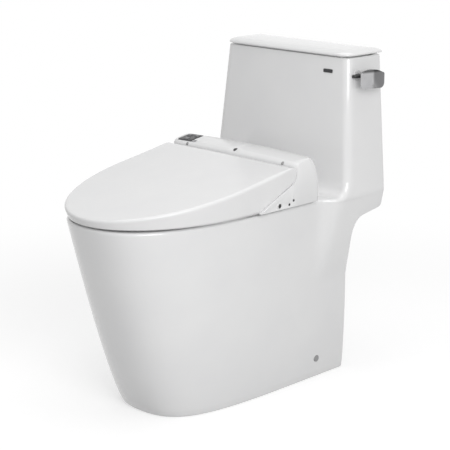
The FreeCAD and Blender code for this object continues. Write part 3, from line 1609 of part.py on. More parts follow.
def hinge_bracket(side):
    """Bracket that stands on the housing's floor and holds a hinge pin."""
    low_x = lowest_x(side, bracket_inner, bracket_width)
    high_x = low_x + bracket_width
    low = base_bottom
    toe_y, heel_y = hinge_y + bracket_toe_offset, hinge_y + bracket_heel_offset
    neck_y, neck_z = [share * bracket_eye_radius for share in bracket_neck_shares]
    tongue = block(low_x - bracket_tongue, high_x + bracket_tongue, toe_y - bracket_tongue,
                   housing_face_y + 2 * housing_wall, low, low + base_thickness)
    eye = rod(V(low_x, hinge_y, hinge_z), RIGHT, bracket_eye_radius, bracket_width)
    stem = side_polygon([
        (toe_y, low), (heel_y, low), (housing_face_y - free_gap, hinge_z - pocket_radius + free_gap),
        (hinge_y, hinge_z - bracket_eye_radius * bracket_throat_share), (hinge_y + neck_y, hinge_z + neck_z)],
        low_x, high_x)
    return [tongue, eye, stem]


def housing_base():
    """Floor of the housing with the two brackets that hold the hinge pins."""
    low, high = base_bottom, base_bottom + base_thickness
    margin = housing_wall + seat_gap
    half = housing_half_width - housing_wall - margin
    bay_half = nozzle_bay_half_width - margin
    floor_plate = block(-half, half, housing_face_y + margin, housing_back_y - margin, low, high)
    nose = block(-bay_half, bay_half, nozzle_bay_front_y + margin, housing_face_y + 2 * margin, low, high)
    base = floor_plate.fuse([nose] + hinge_bracket(1) + hinge_bracket(-1))
    recess_half = plate_half_width + near
    recess = block(-recess_half, recess_half, hinge_y + plate_front_offset - near, housing_back_y,
                   low - cut_over, rim_height + plate_thickness + 2 * seat_gap)
    base = base.cut(recess).cut(hinge_bore())
    for x in (-bolt_half_spacing, bolt_half_spacing):
        base = base.cut(rod(V(x, bolt_y, low - cut_over), UP, bolt_head_radius + free_gap, 3 * cut_over))
    return whole(base)


def mounting_plate():
    """Flat plate bolted to the deck, on which the housing clips."""
    low = rim_height + seat_gap
    high = low + plate_thickness
    plate = block(-plate_half_width, plate_half_width, hinge_y + plate_front_offset,
                  hinge_y + plate_back_offset, low, high)
    uprights = edges_where(plate, lambda box: box.ZLength > plate_thickness / 2)
    plate = plate.makeFillet(plate_corner_radius, uprights)
    half = bolt_radius + seat_gap
    front, rear = bolt_y - plate_slot_travel, bolt_y + plate_slot_travel
    for x in (-bolt_half_spacing, bolt_half_spacing):
        slot = block(x - half, x + half, front, rear, low, high)
        ends = [rod(V(x, y, low), UP, half, plate_thickness) for y in (front, rear)]
        plate = plate.cut(slot.fuse(ends))
    return whole(plate)


def mounting_bolts():
    bolts = []
    head_low = rim_height + 2 * seat_gap + plate_thickness
    head_high = head_low + bolt_head_height
    tail = deck_underside - bolt_tail
    for x in (-bolt_half_spacing, bolt_half_spacing):
        head = rod(V(x, bolt_y, head_low), UP, bolt_head_radius, bolt_head_height)
        shank = rod(V(x, bolt_y, tail), UP, bolt_radius, head_low - tail)
        slot = block(x - bolt_slot_half_width, x + bolt_slot_half_width, bolt_y - bolt_head_radius,
                     bolt_y + bolt_head_radius, head_high - bolt_head_height / 2, head_high)
        bolts.append(whole(head.fuse(shank).cut(slot)))
    return bolts


def mounting_sleeves():
    """Rubber sleeves that swell under the deck when the bolts are tightened."""
    sleeves = []
    low = deck_underside - bolt_tail + sleeve_setback
    flange_top = deck_underside - seat_gap
    for x in (-bolt_half_spacing, bolt_half_spacing):
        body = rod(V(x, bolt_y, low), UP, deck_hole_radius - seat_gap, rim_height - low)
        flange = rod(V(x, bolt_y, flange_top), DOWN, sleeve_flange_radius, sleeve_flange_thickness)
        hole = rod(V(x, bolt_y, low), UP, bolt_radius + running_gap, rim_height - low)
        sleeves.append(whole(body.fuse(flange).cut(hole)))
    return sleeves


# Wash nozzles: the axis runs down and forward out of the housing
def nozzle_start(x, along):
    """A point on a nozzle's axis, measured back from the mouth."""
    return V(x, nozzle_bay_front_y + nozzle_mouth_setback, nozzle_mouth_z) - nozzle_heading * along


def nozzle_guide():
    """Twin tubes that the nozzles slide in, joined by a web, on two feet."""
    bore = nozzle_radius + guide_gap
    tubes, bores = [], []
    for x in (-nozzle_half_spacing, nozzle_half_spacing):
        end = nozzle_start(x, guide_length + guide_setback)
        tubes.append(rod(end, nozzle_heading, bore + guide_wall, guide_length))
        bores.append(rod(end - nozzle_heading * cut_over, nozzle_heading, bore, guide_length + 2 * cut_over))
    close, far = nozzle_start(0, guide_setback + cut_over), nozzle_start(0, guide_length)
    joined = [side_polygon([
        (close.y, close.z - guide_wall), (far.y, far.z - guide_wall), (far.y, far.z), (close.y, close.z)],
        -nozzle_half_spacing, nozzle_half_spacing)]
    half = nozzle_half_spacing + guide_foot_margin
    for offset in guide_foot_offsets:
        y = hinge_y + offset
        axis_z = nozzle_mouth_z + (y - guide_foot_thickness - nozzle_bay_front_y) * nozzle_fall
        joined.append(block(-half, half, y, y + guide_foot_thickness, inside_floor, axis_z))
    below = block(-reach_over, reach_over, -2 * reach_over, 2 * reach_over,
                  inside_floor - reach_over, inside_floor)
    return whole(tubes[0].fuse([tubes[1]] + joined).cut(Part.Compound(bores)).cut(below))


def nozzle(x):
    """Wash nozzle: a long tube whose front holds the tip."""
    back_end = nozzle_start(x, nozzle_length)
    collar_end = back_end - nozzle_heading * nozzle_collar_length
    length = nozzle_length - nozzle_tip_length
    tube = rod(back_end, nozzle_heading, nozzle_radius, length)
    collar = rod(collar_end, nozzle_heading, nozzle_radius + nozzle_collar_step, nozzle_collar_length)
    return whole(tube.fuse(collar).cut(rod(collar_end, nozzle_heading, nozzle_bore_radius, length)))


def nozzle_tip(x, jets):
    """Removable tip with a rounded end and its row of jet holes on top."""
    start = nozzle_start(x, nozzle_tip_length)
    far = start + nozzle_heading * nozzle_tip_length
    tip = rod(start, nozzle_heading, nozzle_radius, nozzle_tip_length)
    end_edges = [edge for edge in tip.Edges if (edge.CenterOfMass - far).Length < near]
    tip = soften(tip, end_edges, nozzle_tip_round)
    lift = V(0, nozzle_heading.z, -nozzle_heading.y)
    for n in range(jets):
        along = nozzle_tip_length * (n + 1) / (jets + 2)
        tip = tip.cut(rod(start + nozzle_heading * along, lift, nozzle_jet_radius, 2 * nozzle_radius))
    return whole(tip)


# Parts inside the housing
def heater_tank():
    """Small water heater: a lying drum with rounded ends on two saddles."""
    centre_y, centre_z = hinge_y + heater_offset, rim_height + heater_rise
    drum = rod(V(heater_x, centre_y, centre_z), RIGHT, heater_radius, heater_length)
    ends = [edge for edge in drum.Edges if edge.Closed and edge.Length > heater_radius]
    drum = soften(drum, ends, heater_round)
    saddles = []
    for place in heater_saddle_places:
        low_x = heater_x + place
        saddles.append(block(low_x, low_x + heater_saddle_width, centre_y - heater_saddle_half_depth,
                             centre_y + heater_saddle_half_depth, inside_floor, centre_z))
    return whole(drum.fuse(saddles))


def wash_pump():
    base = V(pump_x, hinge_y + pump_offset, inside_floor)
    body = rod(base, UP, pump_radius, pump_height)
    motor = rod(base + UP * pump_height, UP, pump_motor_radius, pump_motor_height)
    spout = rod(base + UP * pump_spout_height, RIGHT, hose_radius, pump_radius + pump_spout_length)
    return whole(body.fuse([motor, spout]))


def inlet_valve():
    centre = V(valve_x, hinge_y + valve_offset, inside_floor)
    half_x, half_y = valve_length / 2, valve_width / 2
    body = block(valve_x - half_x, valve_x + half_x, centre.y - half_y, centre.y + half_y,
                 inside_floor, inside_floor + valve_height)
    uprights = edges_where(body, lambda box: box.ZLength > valve_height / 2)
    body = body.makeFillet(valve_corner_radius, uprights)
    return whole(body.fuse(rod(centre + UP * valve_height, UP, valve_coil_radius, valve_coil_height)))


def circuit_board():
    """Control board on four posts, with its relay, its socket and a capacitor."""
    low_x, low_y = board_x - board_length / 2, hinge_y + board_offset - board_width / 2
    under = inside_floor + board_post_height
    over = under + board_thickness
    board = block(low_x, low_x + board_length, low_y, low_y + board_width, under, over)
    parts = []
    for x in (low_x + board_post_inset, low_x + board_length - board_post_inset):
        for y in (low_y + board_post_inset, low_y + board_width - board_post_inset):
            parts.append(rod(V(x, y, inside_floor), UP, board_post_radius, board_post_height))
    for shares, height in ((relay_shares, relay_height), (socket_shares, socket_height)):
        left, right, front, rear = shares
        parts.append(block(low_x + left * board_length, low_x + right * board_length,
                           low_y + front * board_width, low_y + rear * board_width, over, over + height))
    across, along = capacitor_shares
    spot = V(low_x + across * board_length, low_y + along * board_width, over)
    parts.append(rod(spot, UP, capacitor_radius, capacitor_height))
    return whole(board.fuse(parts))


def water_inlet():
    """Inlet in the housing's left side: a flange, a neck and a threaded tail."""
    start = inlet_start()
    shoulder = V(-housing_half_width - inlet_neck_spare, start.y, start.z)
    flange = rod(start, LEFT, inlet_thread_radius + inlet_flange_step, inlet_flange_thickness)
    neck = rod(start, LEFT, inlet_neck_radius, start.x - shoulder.x)
    thread = rod(shoulder, LEFT, inlet_thread_radius, inlet_length)
    return whole(flange.fuse([neck, thread]).cut(rod(start, LEFT, inlet_bore_radius, reach_over)))


def cord_gland():
    start = gland_start()
    body = rod(start, LEFT, gland_radius, 2 * housing_wall + gland_length)
    flange = rod(start, LEFT, gland_radius + gland_flange_step, gland_flange_thickness)
    return whole(body.fuse(flange).cut(rod(start, LEFT, gland_bore_radius, reach_over)))


def water_hose():
    """Short hose inside the housing from the pump to the heater."""
    height = inside_floor + pump_spout_height
    start = V(pump_x + pump_radius + pump_spout_length + seat_gap, hinge_y + pump_offset, height)
    end = V(heater_x - seat_gap, hinge_y + heater_offset, height + hose_rise)
    corners = [(start + RIGHT * hose_straight, hose_bend_radius),
               (end + LEFT * hose_straight, hose_bend_radius)]
    return whole(pipe(rounded_path(start, corners, end), hose_radius))


# Controls on the housing
def upright_corners(shape):
    return edges_where(shape, lambda box: box.XLength < near and box.ZLength > box.YLength)


def control_panel():
    plate = tilted_block(panel_outer_x, panel_inner_x, panel_front_y, panel_back_y,
                         panel_thickness, panel_proud)
    plate = soften(plate, upright_corners(plate), panel_corner_radius)
    for place in range(len(button_shares)):
        plate = plate.cut(button_hole(place, 2 * panel_thickness, 2 * panel_thickness))
    return whole(plate)


def push_button(place):
    x, y = button_corner(place)
    key = tilted_block(x, x + button_length, y, y + button_width, button_stem, panel_proud + button_proud)
    return soften(key, upright_corners(key), button_corner_radius)


def indicator_window():
    return tilted_block(window_outer_x, window_inner_x, window_front_y, window_back_y, panel_thickness,
                        panel_proud / 2)


def seat_sensor():
    start = V(0, sensor_y, housing_plane(sensor_y) - panel_thickness)
    return rod(start, UP, sensor_radius, panel_thickness + panel_proud)


def filter_ring():
    outer = flank_disc(filter_y, filter_height, filter_ring_radius, plug_proud, plug_proud)
    inner = flank_disc(filter_y, filter_height, filter_plug_radius + seat_gap, 2 * plug_proud, 2 * plug_proud)
    return whole(outer.cut(inner))


def filter_plug():
    plug = flank_disc(filter_y, filter_height, filter_plug_radius, 2 * plug_proud, plug_proud / 2)
    slot = block(housing_half_width - plug_proud / 2, housing_half_width + plug_proud,
                 filter_y - filter_plug_radius, filter_y + filter_plug_radius,
                 filter_height - filter_slot_half_width, filter_height + filter_slot_half_width)
    return whole(plug.cut(slot))


def drain_plugs():
    return [flank_disc(y, z, drain_radius, 2 * plug_proud, plug_proud / 2) for y, z in drain_places]


save("china_body", china_body())
save("bowl_basin", bowl_basin())
save("trapway", trapway())
save("outlet_seal", outlet_seal())
save("floor_brackets", *floor_brackets())
save("side_screws", *side_screws())
save("side_screw_caps", *side_caps())
save("tank_lid", tank_lid())
save("tank_lid_pads", *tank_lid_pads())
save("fill_valve_body", fill_valve_body())
save("fill_valve_cap", fill_valve_cap())
save("fill_valve_washer", fill_valve_washer())
save("fill_valve_nut", fill_valve_nut())
save("float_cup", float_cup())
save("refill_tube", refill_tube())
save("flush_valve_base", flush_valve_base())
save("flush_valve_gasket", flush_valve_gasket())
save("flush_tower", flush_tower())
save("flush_canister", flush_canister())
save("canister_seal", canister_seal())
save("flush_plunger", flush_plunger())
save("lever_bush", lever_bush())
save("lever_nut", lever_nut())
save("lever_stem", lever_stem())
save("flush_handle", flush_handle())
save("trip_arm", trip_arm())
save("seat_lid", seat_lid())
save("seat_lid_pads", *cover_pads())
save("seat_ring", seat_ring())
save("seat_ring_pads", *ring_pads())
save("hinge_pins", *hinge_pins())
save("housing_cover", housing_cover())
save("housing_base", housing_base())
save("mounting_plate", mounting_plate())
save("mounting_bolts", *mounting_bolts())
save("mounting_sleeves", *mounting_sleeves())
save("nozzle_guide", nozzle_guide())
save("rear_nozzle", nozzle(-nozzle_half_spacing))
save("front_nozzle", nozzle(nozzle_half_spacing))
save("rear_nozzle_tip", nozzle_tip(-nozzle_half_spacing, rear_jet_count))
save("front_nozzle_tip", nozzle_tip(nozzle_half_spacing, front_jet_count))
save("heater_tank", heater_tank())
save("wash_pump", wash_pump())
save("inlet_valve", inlet_valve())
save("circuit_board", circuit_board())
save("water_hoses", water_hose())
save("water_inlet", water_inlet())
save("cord_gland", cord_gland())
save("control_panel", control_panel())
save("stop_button", push_button(0))
save("rear_wash_button", push_button(1))
save("front_wash_button", push_button(2))
save("indicator_window", indicator_window())
save("seat_sensor", seat_sensor())
save("filter_ring", filter_ring())
save("filter_plug", filter_plug())
save("drain_plugs", *drain_plugs())
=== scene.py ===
# %% [markdown]
# A one-piece toilet with a bidet seat, dressed for a picture.
# The engineering model is loaded first and fixes every place and size. Each step
# below then makes one visible piece around it, or gives a kept piece its finish.
# Sizes are typed in millimetres, as on a maker's drawing, and scaled once.

import json
import math

import bmesh
import bpy
import numpy as np
from mathutils import Matrix, Vector


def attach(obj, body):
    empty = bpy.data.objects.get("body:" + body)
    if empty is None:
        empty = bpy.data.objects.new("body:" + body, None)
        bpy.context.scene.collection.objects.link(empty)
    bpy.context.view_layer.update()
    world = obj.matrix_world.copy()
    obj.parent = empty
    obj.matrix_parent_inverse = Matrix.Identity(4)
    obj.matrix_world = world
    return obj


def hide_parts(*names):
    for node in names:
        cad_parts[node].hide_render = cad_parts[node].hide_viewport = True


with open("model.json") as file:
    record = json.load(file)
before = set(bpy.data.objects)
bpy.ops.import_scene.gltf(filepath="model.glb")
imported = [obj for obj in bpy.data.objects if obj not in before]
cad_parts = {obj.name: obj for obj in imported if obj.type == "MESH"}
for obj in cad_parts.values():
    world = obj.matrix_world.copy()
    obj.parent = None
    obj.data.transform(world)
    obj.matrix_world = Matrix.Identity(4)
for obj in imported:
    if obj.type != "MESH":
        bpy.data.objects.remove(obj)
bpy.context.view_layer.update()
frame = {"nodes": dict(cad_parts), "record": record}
nodes = frame["nodes"]
MM = 0.001

# %% [markdown]
# The picture is taken from the front right, a little above the lid. A long lens
# far away keeps the upright lines of the tank nearly parallel.

# %% Camera
camera_place = (2.0899, -2.0763, 1.1451)
line_of_sight = Vector((-0.6876, 0.6791, -0.2568))
lens_length, sensor_width = 109.6, 36.0
camera_data = bpy.data.cameras.new("camera")
camera_data.lens = lens_length
camera_data.sensor_width = sensor_width
camera = bpy.data.objects.new("camera", camera_data)
bpy.context.scene.collection.objects.link(camera)
camera.location = camera_place
camera.rotation_euler = line_of_sight.to_track_quat("-Z", "Y").to_euler()
bpy.context.scene.camera = camera
print("camera at", camera_place)

# %% [markdown]
# Smooth glazed china shows every unevenness in its reflections. So a surface is
# made as a grid of squares, and each corner of the grid is laid on the form by a
# small function. Grids that share an edge are then welded.

# %% Helpers for laying grids on a form
def sheet(mesh, columns, rows, place):
    """A grid whose corners are put where place(column, row) says, in millimetres."""
    made = bmesh.ops.create_grid(mesh, x_segments=columns - 1, y_segments=rows - 1, size=0.5)
    for corner in made["verts"]:
        column = round((corner.co.x + 0.5) * (columns - 1))
        row = round((corner.co.y + 0.5) * (rows - 1))
        corner.co = place(column, row)


def blend_between(low, high, share):
    return low + (high - low) * share


def unit(value):
    """A value held between 0 and 1."""
    return min(max(value, 0.0), 1.0)


def quarter(step, steps):
    """Sine and cosine of a step in a quarter turn."""
    turn = math.pi / 2 * step / steps
    return math.sin(turn), math.cos(turn)


# %% [markdown]
# Cast and moulded outlines have few straight runs. They are cubic curves with four
# poles: two ends, and two poles between them that pull the curve outwards. How far
# they pull is worked out from how full the curve should be.

# %% Helpers for curves
heading_reach = 0.01


def cubic(poles, share):
    """A point on a cubic curve with four poles."""
    rest = 1 - share
    weights = (rest**3, 3 * rest**2 * share, 3 * rest * share**2, share**3)
    return sum((Vector(pole) * weight for pole, weight in zip(poles, weights)), Vector((0, 0)))


def heading(curve, share):
    """The way that a curve runs at a share of it."""
    return curve(min(share + heading_reach, 1.0)) - curve(max(share - heading_reach, 0.0))


def fullness_pull(fullness):
    """How far the poles reach for a quarter curve as full as a superellipse."""
    return (8 * 2 ** (-1 / fullness) - 4) / 3


# %% [markdown]
# Every piece is finished the same way: welded, turned outwards, shaded smooth
# with its real corners left crisp, and tied to the moving body that it belongs to.

# %% Finish a mesh as a piece
piece_weld, crease_degrees = 0.02, 35.0
dressed = []


def sharpen(data):
    """Mark the edges where two faces meet at more than the crease angle as sharp."""
    limit = math.cos(math.radians(crease_degrees))
    mesh = bmesh.new()
    mesh.from_mesh(data)
    for edge in mesh.edges:
        if len(edge.link_faces) == 2:
            first, second = edge.link_faces
            edge.smooth = first.normal.dot(second.normal) > limit
    mesh.to_mesh(data)
    mesh.free()


def smooth_data(mesh, name):
    """Turn a bmesh into mesh data that is shaded smooth."""
    data = bpy.data.meshes.new(name)
    mesh.to_mesh(data)
    mesh.free()
    data.shade_smooth()
    return data


def add_piece(data, name, body, slot_name, stands_for=()):
    """Put a finished mesh in the scene as a piece that rides on a body."""
    piece = bpy.data.objects.new(name, data)
    bpy.context.scene.collection.objects.link(piece)
    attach(piece, body)
    if stands_for:
        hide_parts(*stands_for)
    dressed.append((piece, slot_name))
    print(name, len(data.polygons), "faces")
    return piece


def finish_mesh(mesh, name, body, slot_name, stands_for=()):
    """Weld, turn the faces outwards, scale to metres and put the piece on its body."""
    bmesh.ops.remove_doubles(mesh, verts=mesh.verts, dist=piece_weld)
    bmesh.ops.recalc_face_normals(mesh, faces=mesh.faces)
    bmesh.ops.scale(mesh, vec=(MM, MM, MM), verts=mesh.verts)
    data = smooth_data(mesh, name)
    sharpen(data)
    add_piece(data, name, body, slot_name, stands_for)


# %% [markdown]
# The china is one casting: skirt, rim, deck and tank. Its sizes come first, as
# heights above the floor, depths towards the wall and half widths.

# %% Sizes of the china
back, nose_top = 290.0, -410.0
rim, rise_top, tank_top = 433.5, 471.5, 734.0
flank_foot, flank_rim = 133.1, 178.8
foot_half_width, head_half_width = 209.0, 185.0
flare_back, flare_front = 148.0, 90.0
tank_foot, tank_head, corner_y = 153.0, 173.0, 126.5
bow_radius = 3640.0
deck_radius, upright_radius = 7.0, 18.0
wall = 12.0
print("china:", back - nose_top, "deep,", 2 * foot_half_width, "wide,", tank_top, "high")

# %% [markdown]
# Slip-cast china leans and swells gently. The skirt widens from its foot to the
# rim, and under the tank its sides flare out to the tank's width. Functions of
# height and depth say this once, and every grid below reads them.

# %% How wide the china is
growth_power, spread_power, spread_start = 0.8, 1.2, 240.0
flare_samples = 40
flare_middle = (flare_back + flare_front) / 2
flare_poles = [(flare_back, 1), (flare_middle, 1), (flare_middle, 0), (flare_front, 0)]
flare_curve = [cubic(flare_poles, n / flare_samples) for n in range(flare_samples, -1, -1)]
flare_ys = [point.x for point in flare_curve]
flare_shares = [point.y for point in flare_curve]


def growth(z):
    """How far the skirt has grown from its foot, 0, to the rim, 1."""
    return unit(z / rim) ** growth_power


def flank(z):
    return blend_between(flank_foot, flank_rim, growth(z))


def rear_width(z):
    """Half the width under the tank, and of the tank above the rim."""
    if z > rim:
        return blend_between(foot_half_width, head_half_width, (z - rim) / (tank_top - rim))
    rise = max(z - spread_start, 0.0) / (rim - spread_start)
    return blend_between(flank(z), foot_half_width, rise**spread_power)


def side_x(y, z):
    """Half the china's width at a depth and a height, behind the nose's curve."""
    share = float(np.interp(y, flare_ys, flare_shares))
    return blend_between(flank(z), rear_width(z), share)


print("half width at the rim:", flank(rim), "and at the tank's foot:", rear_width(rim))

# %% [markdown]
# The nose is a quarter curve on each side, fuller at the foot than at the rim, and
# its tip leans forwards with height. A wall's inside is the same curve moved in
# along its own outward direction, so the wall keeps one thickness.

# %% The nose's outline
nose_setback = 136.9
nose_run_foot, nose_run_rim = 319.8, 411.7
nose_fullness_foot, nose_fullness_rim = 3.1, 2.8


def nose_point(z, share, inset):
    """A point on the right half of the nose: share 0 at the flank, 1 at the tip."""
    grown = growth(z)
    tip = blend_between(nose_top + nose_setback, nose_top, grown)
    run = blend_between(nose_run_foot, nose_run_rim, grown)
    pull = fullness_pull(blend_between(nose_fullness_foot, nose_fullness_rim, grown))
    half = flank(z)
    poles = [(half, tip + run), (half, tip + run - pull * run), (half * pull, tip), (0, tip)]
    ahead = heading(lambda part: cubic(poles, part), share)
    out = Vector((-ahead.y, ahead.x)).normalized()
    return cubic(poles, share) - out * inset


print("tip of the nose at the rim:", tuple(nose_point(rim, 1.0, 0.0)))

# %% [markdown]
# A row of a grid goes once round the china. Its front part runs from the left
# corner round the nose to the right corner, and its rear part from there round
# the back. Both are counted in steps, so that rows of all grids meet.

# %% Points round the front and the back
nose_steps, flank_steps, flare_count = 34, 6, 8
front_half = nose_steps + flank_steps + flare_count
side_steps, corner_steps, back_steps = 14, 6, 10
rear_half = side_steps + corner_steps + back_steps


def front_point(z, column, inset):
    """A point round the front of the skirt, from the left corner to the right."""
    mirrored = -1 if column < front_half else 1
    step = abs(column - front_half)
    if step <= nose_steps:
        spot = nose_point(z, 1 - step / nose_steps, inset)
        return Vector((mirrored * spot.x, spot.y, z))
    if step <= nose_steps + flank_steps:
        turn_y = nose_point(z, 0.0, 0.0).y
        y = blend_between(turn_y, flare_front, (step - nose_steps) / flank_steps)
    else:
        y = blend_between(flare_front, corner_y, (step - nose_steps - flank_steps) / flare_count)
    return Vector((mirrored * (side_x(y, z) - inset), y, z))


def rear_point(column, start, rear, inset, radius):
    """A point from the right side round the back to the left side."""
    mirrored = -1 if column > rear_half else 1
    step = 2 * rear_half - column if column > rear_half else column
    start, rear = Vector(start), Vector(rear)
    along = (rear - start).normalized()
    if step <= side_steps:
        spot = start.lerp(rear - along * radius, step / side_steps)
        x = side_x(*spot) - inset
    elif step <= side_steps + corner_steps:
        sine, cosine = quarter(step - side_steps, corner_steps)
        spot = rear - along * radius * (1 - sine)
        x = side_x(*spot) - inset - radius * (1 - cosine)
    else:
        spot = rear
        x = (side_x(*spot) - inset - radius) * (1 - (step - side_steps - corner_steps) / back_steps)
    return Vector((mirrored * x, spot.x, spot.y))


print("steps round the china:", 2 * (front_half + rear_half))

# %% [markdown]
# Seen from the side, the heel draws in slowly up to a waist, and above it the back
# swings out under the tank. The heel is a parabola through three points, and the
# swing is a cubic, a short slope and a small round.

# %% The back of the china in side view
heel_points = [(243.0, 0.0), (226.8, 162.5), (207.0, 325.0)]
waist_top = heel_points[-1][1]
under_poles = [(207.0, 325.0), (203.0, 352.0), (208.0, 379.0), (232.0, 383.0)]
under_back, under_radius = (282.0, 391.0), 8.0
swing_steps, short_steps = 8, 4


def heel_y(z):
    """Depth of the heel at a height."""
    (foot, _), (middle, mid_z), (waist, top_z) = heel_points
    at_foot = (z - mid_z) * (z - top_z) / (mid_z * top_z)
    at_middle = z * (z - top_z) / (mid_z * (mid_z - top_z))
    at_waist = z * (z - mid_z) / (top_z * (top_z - mid_z))
    return foot * at_foot + middle * at_middle + waist * at_waist


def rear_line():
    """The back of the china from the waist to the tank's back."""
    slope_start, slope_end = Vector(under_poles[-1]), Vector(under_back)
    points = [tuple(cubic(under_poles, n / swing_steps)) for n in range(swing_steps + 1)]
    points += [tuple(slope_start.lerp(slope_end, n / short_steps)) for n in range(1, short_steps + 1)]
    for n in range(1, short_steps + 1):
        sine, cosine = quarter(n, short_steps)
        points.append((slope_end.x + under_radius * sine, slope_end.y + under_radius * (1 - cosine)))
    return points


back_line = rear_line()
print("points down the back:", len(back_line))

# %% [markdown]
# The pedestal's rows start inside the hollow skirt, go down its inner wall and
# under the foot, round the foot's edge, and up the outside to just below the rim.
# A row keeps its inset, where its sides start, where its back is and the radius
# of its rear corners.

# %% Rows of the pedestal
ceiling = rim - 36.0
inner_heights = (ceiling, 360.0, 325.0, 240.0, 160.0, 80.0, 30.0, 4.0)
foot_insets = (9.0, 8.0, 5.0)
foot_round, foot_round_steps = 4.0, 4
skirt_top, skirt_rows = 300.0, 20
waist_low, waist_high, below_rim = 308.0, 408.0, 417.0
inner_corner, foot_corner, skirt_corner, tank_corner = 6.0, 7.0, 8.0, 10.0

pedestal_rows = []
for z in inner_heights:
    pedestal_rows.append((wall, (corner_y, z), (heel_y(min(z, waist_top)) - wall, z), inner_corner))
for inset in foot_insets:
    pedestal_rows.append((inset, (corner_y, 0.0), (heel_y(0.0) - inset, 0.0), foot_corner))
for n in range(1, foot_round_steps + 1):
    sine, cosine = quarter(n, foot_round_steps)
    inset, z = foot_round * (1 - sine), foot_round * (1 - cosine)
    pedestal_rows.append((inset, (corner_y, z), (heel_y(z) - inset, z), skirt_corner))
for n in range(1, skirt_rows + 1):
    z = blend_between(foot_round, skirt_top, n / skirt_rows)
    pedestal_rows.append((0.0, (corner_y, z), (heel_y(z), z), skirt_corner))
for n, rear in enumerate(back_line):
    z = blend_between(waist_low, waist_high, n / (len(back_line) - 1))
    radius = blend_between(skirt_corner, tank_corner, n / len(back_line))
    pedestal_rows.append((0.0, (corner_y, z), rear, radius))
for z in (below_rim, rim - deck_radius):
    pedestal_rows.append((0.0, (corner_y, z), (back, z), tank_corner))
print("pedestal rows:", len(pedestal_rows))

# %% [markdown]
# With the rows known, the pedestal is one grid. A narrow second grid rolls the
# rim's edge over from the skirt's side to the flat deck, all round the front.

# %% Pedestal and rim
rim_steps = 6


def pedestal_place(column, row):
    inset, start, rear, radius = pedestal_rows[row]
    if column <= 2 * front_half:
        return front_point(start[1], column, inset)
    return rear_point(column - 2 * front_half, start, rear, inset, radius)


def rim_place(column, row):
    sine, cosine = quarter(row, rim_steps)
    return front_point(rim - deck_radius * (1 - sine), column, deck_radius * (1 - cosine))


china = bmesh.new()
sheet(china, 2 * (front_half + rear_half) + 1, len(pedestal_rows), pedestal_place)
sheet(china, 2 * front_half + 1, rim_steps + 1, rim_place)
print("pedestal faces:", len(china.faces))

# %% [markdown]
# The deck runs up into the tank in a hollow curve, and the rounded edge of the
# deck carries on up the tank's front corners, growing rounder on its way. Above
# the lip the rows turn down again, so the tank has a real wall and a hollow.

# %% Tank rows: side view point, the way its face looks, the edge's radius and the inset
deck_rise_poles = [(121.0, rim), (140.0, rim), (tank_foot, 446.2), (tank_foot, rise_top)]
deck_rise_steps, upright_steps = 12, 12
lip_edge, lip_edge_steps = 3.0, 4
tank_floor = 425.0
hollow_heights = (690.0, 620.0, 550.0, 480.0, tank_floor)
tank_lean = Vector((tank_head - tank_foot, tank_top - rise_top)).normalized()
hollow_lean = (tank_head - tank_foot) / (tank_top - rim)

tank_rows = []
for n in range(deck_rise_steps + 1):
    share = n / deck_rise_steps
    ahead = heading(lambda part: cubic(deck_rise_poles, part), share) if n else Vector((1, 0))
    ahead = ahead.normalized().lerp(tank_lean, share**3).normalized()
    radius = blend_between(deck_radius, upright_radius, share)
    tank_rows.append((cubic(deck_rise_poles, share), Vector((-ahead.y, ahead.x)), radius, 0.0))
for n in range(1, upright_steps + 1):
    z = blend_between(rise_top, tank_top - lip_edge, n / upright_steps)
    y = blend_between(tank_foot, tank_head, (z - rise_top) / (tank_top - rise_top))
    tank_rows.append((Vector((y, z)), Vector((-tank_lean.y, tank_lean.x)), upright_radius, 0.0))

lip_rows = []
for n in range(1, lip_edge_steps + 1):
    sine, cosine = quarter(n, lip_edge_steps)
    lip_rows.append((lip_edge * (1 - cosine), tank_top - lip_edge * (1 - sine)))
for n in range(lip_edge_steps + 1):
    sine, cosine = quarter(n, lip_edge_steps)
    lip_rows.append((wall - lip_edge + lip_edge * sine, tank_top - lip_edge * (1 - cosine)))
lip_rows += [(wall, z) for z in hollow_heights]
for inset, z in lip_rows:
    spot = Vector((tank_head - hollow_lean * (tank_top - z), z))
    tank_rows.append((spot, Vector((-1, 0)), upright_radius, inset))
print("tank rows:", len(tank_rows))

# %% [markdown]
# The tank's front is bowed like the side of a very wide drum. Each row crosses the
# bowed front, turns round the right edge, goes round the back and returns by the
# left edge. Then the three grids are welded along the edges that they share.

# %% Tank
strip_steps = 6
front_steps = 2 * rear_half
least_corner = 3.0
seam_weld = 0.6


def tank_edge(row, step, inset):
    """The rounded edge between the tank's right side and its front."""
    spot, facing, radius, _ = tank_rows[row]
    sine, cosine = quarter(step, strip_steps)
    edge = spot + Vector((side_x(*spot) ** 2 / (2 * bow_radius), 0))
    base = edge - facing * radius * (1 - sine)
    x = side_x(*base) - radius * (1 - cosine)
    return Vector((x - inset * cosine, base.x + inset * sine, base.y))


def tank_place(column, row):
    inset = tank_rows[row][3]
    if column <= front_steps:
        right = tank_edge(row, strip_steps, inset)
        x = right.x * (2 * column / front_steps - 1)
        return Vector((x, right.y - (right.x**2 - x**2) / (2 * bow_radius), right.z))
    column -= front_steps
    if column <= strip_steps:
        return tank_edge(row, strip_steps - column, inset)
    column -= strip_steps
    if column <= 2 * rear_half:
        edge = tank_edge(row, 0, 0.0)
        z = edge.z if row >= deck_rise_steps else max(edge.z, rim - deck_radius)
        radius = max(tank_corner - inset, least_corner)
        return rear_point(column, (edge.y, edge.z), (back - inset, z), inset, radius)
    edge = tank_edge(row, column - 2 * rear_half, inset)
    return Vector((-edge.x, edge.y, edge.z))


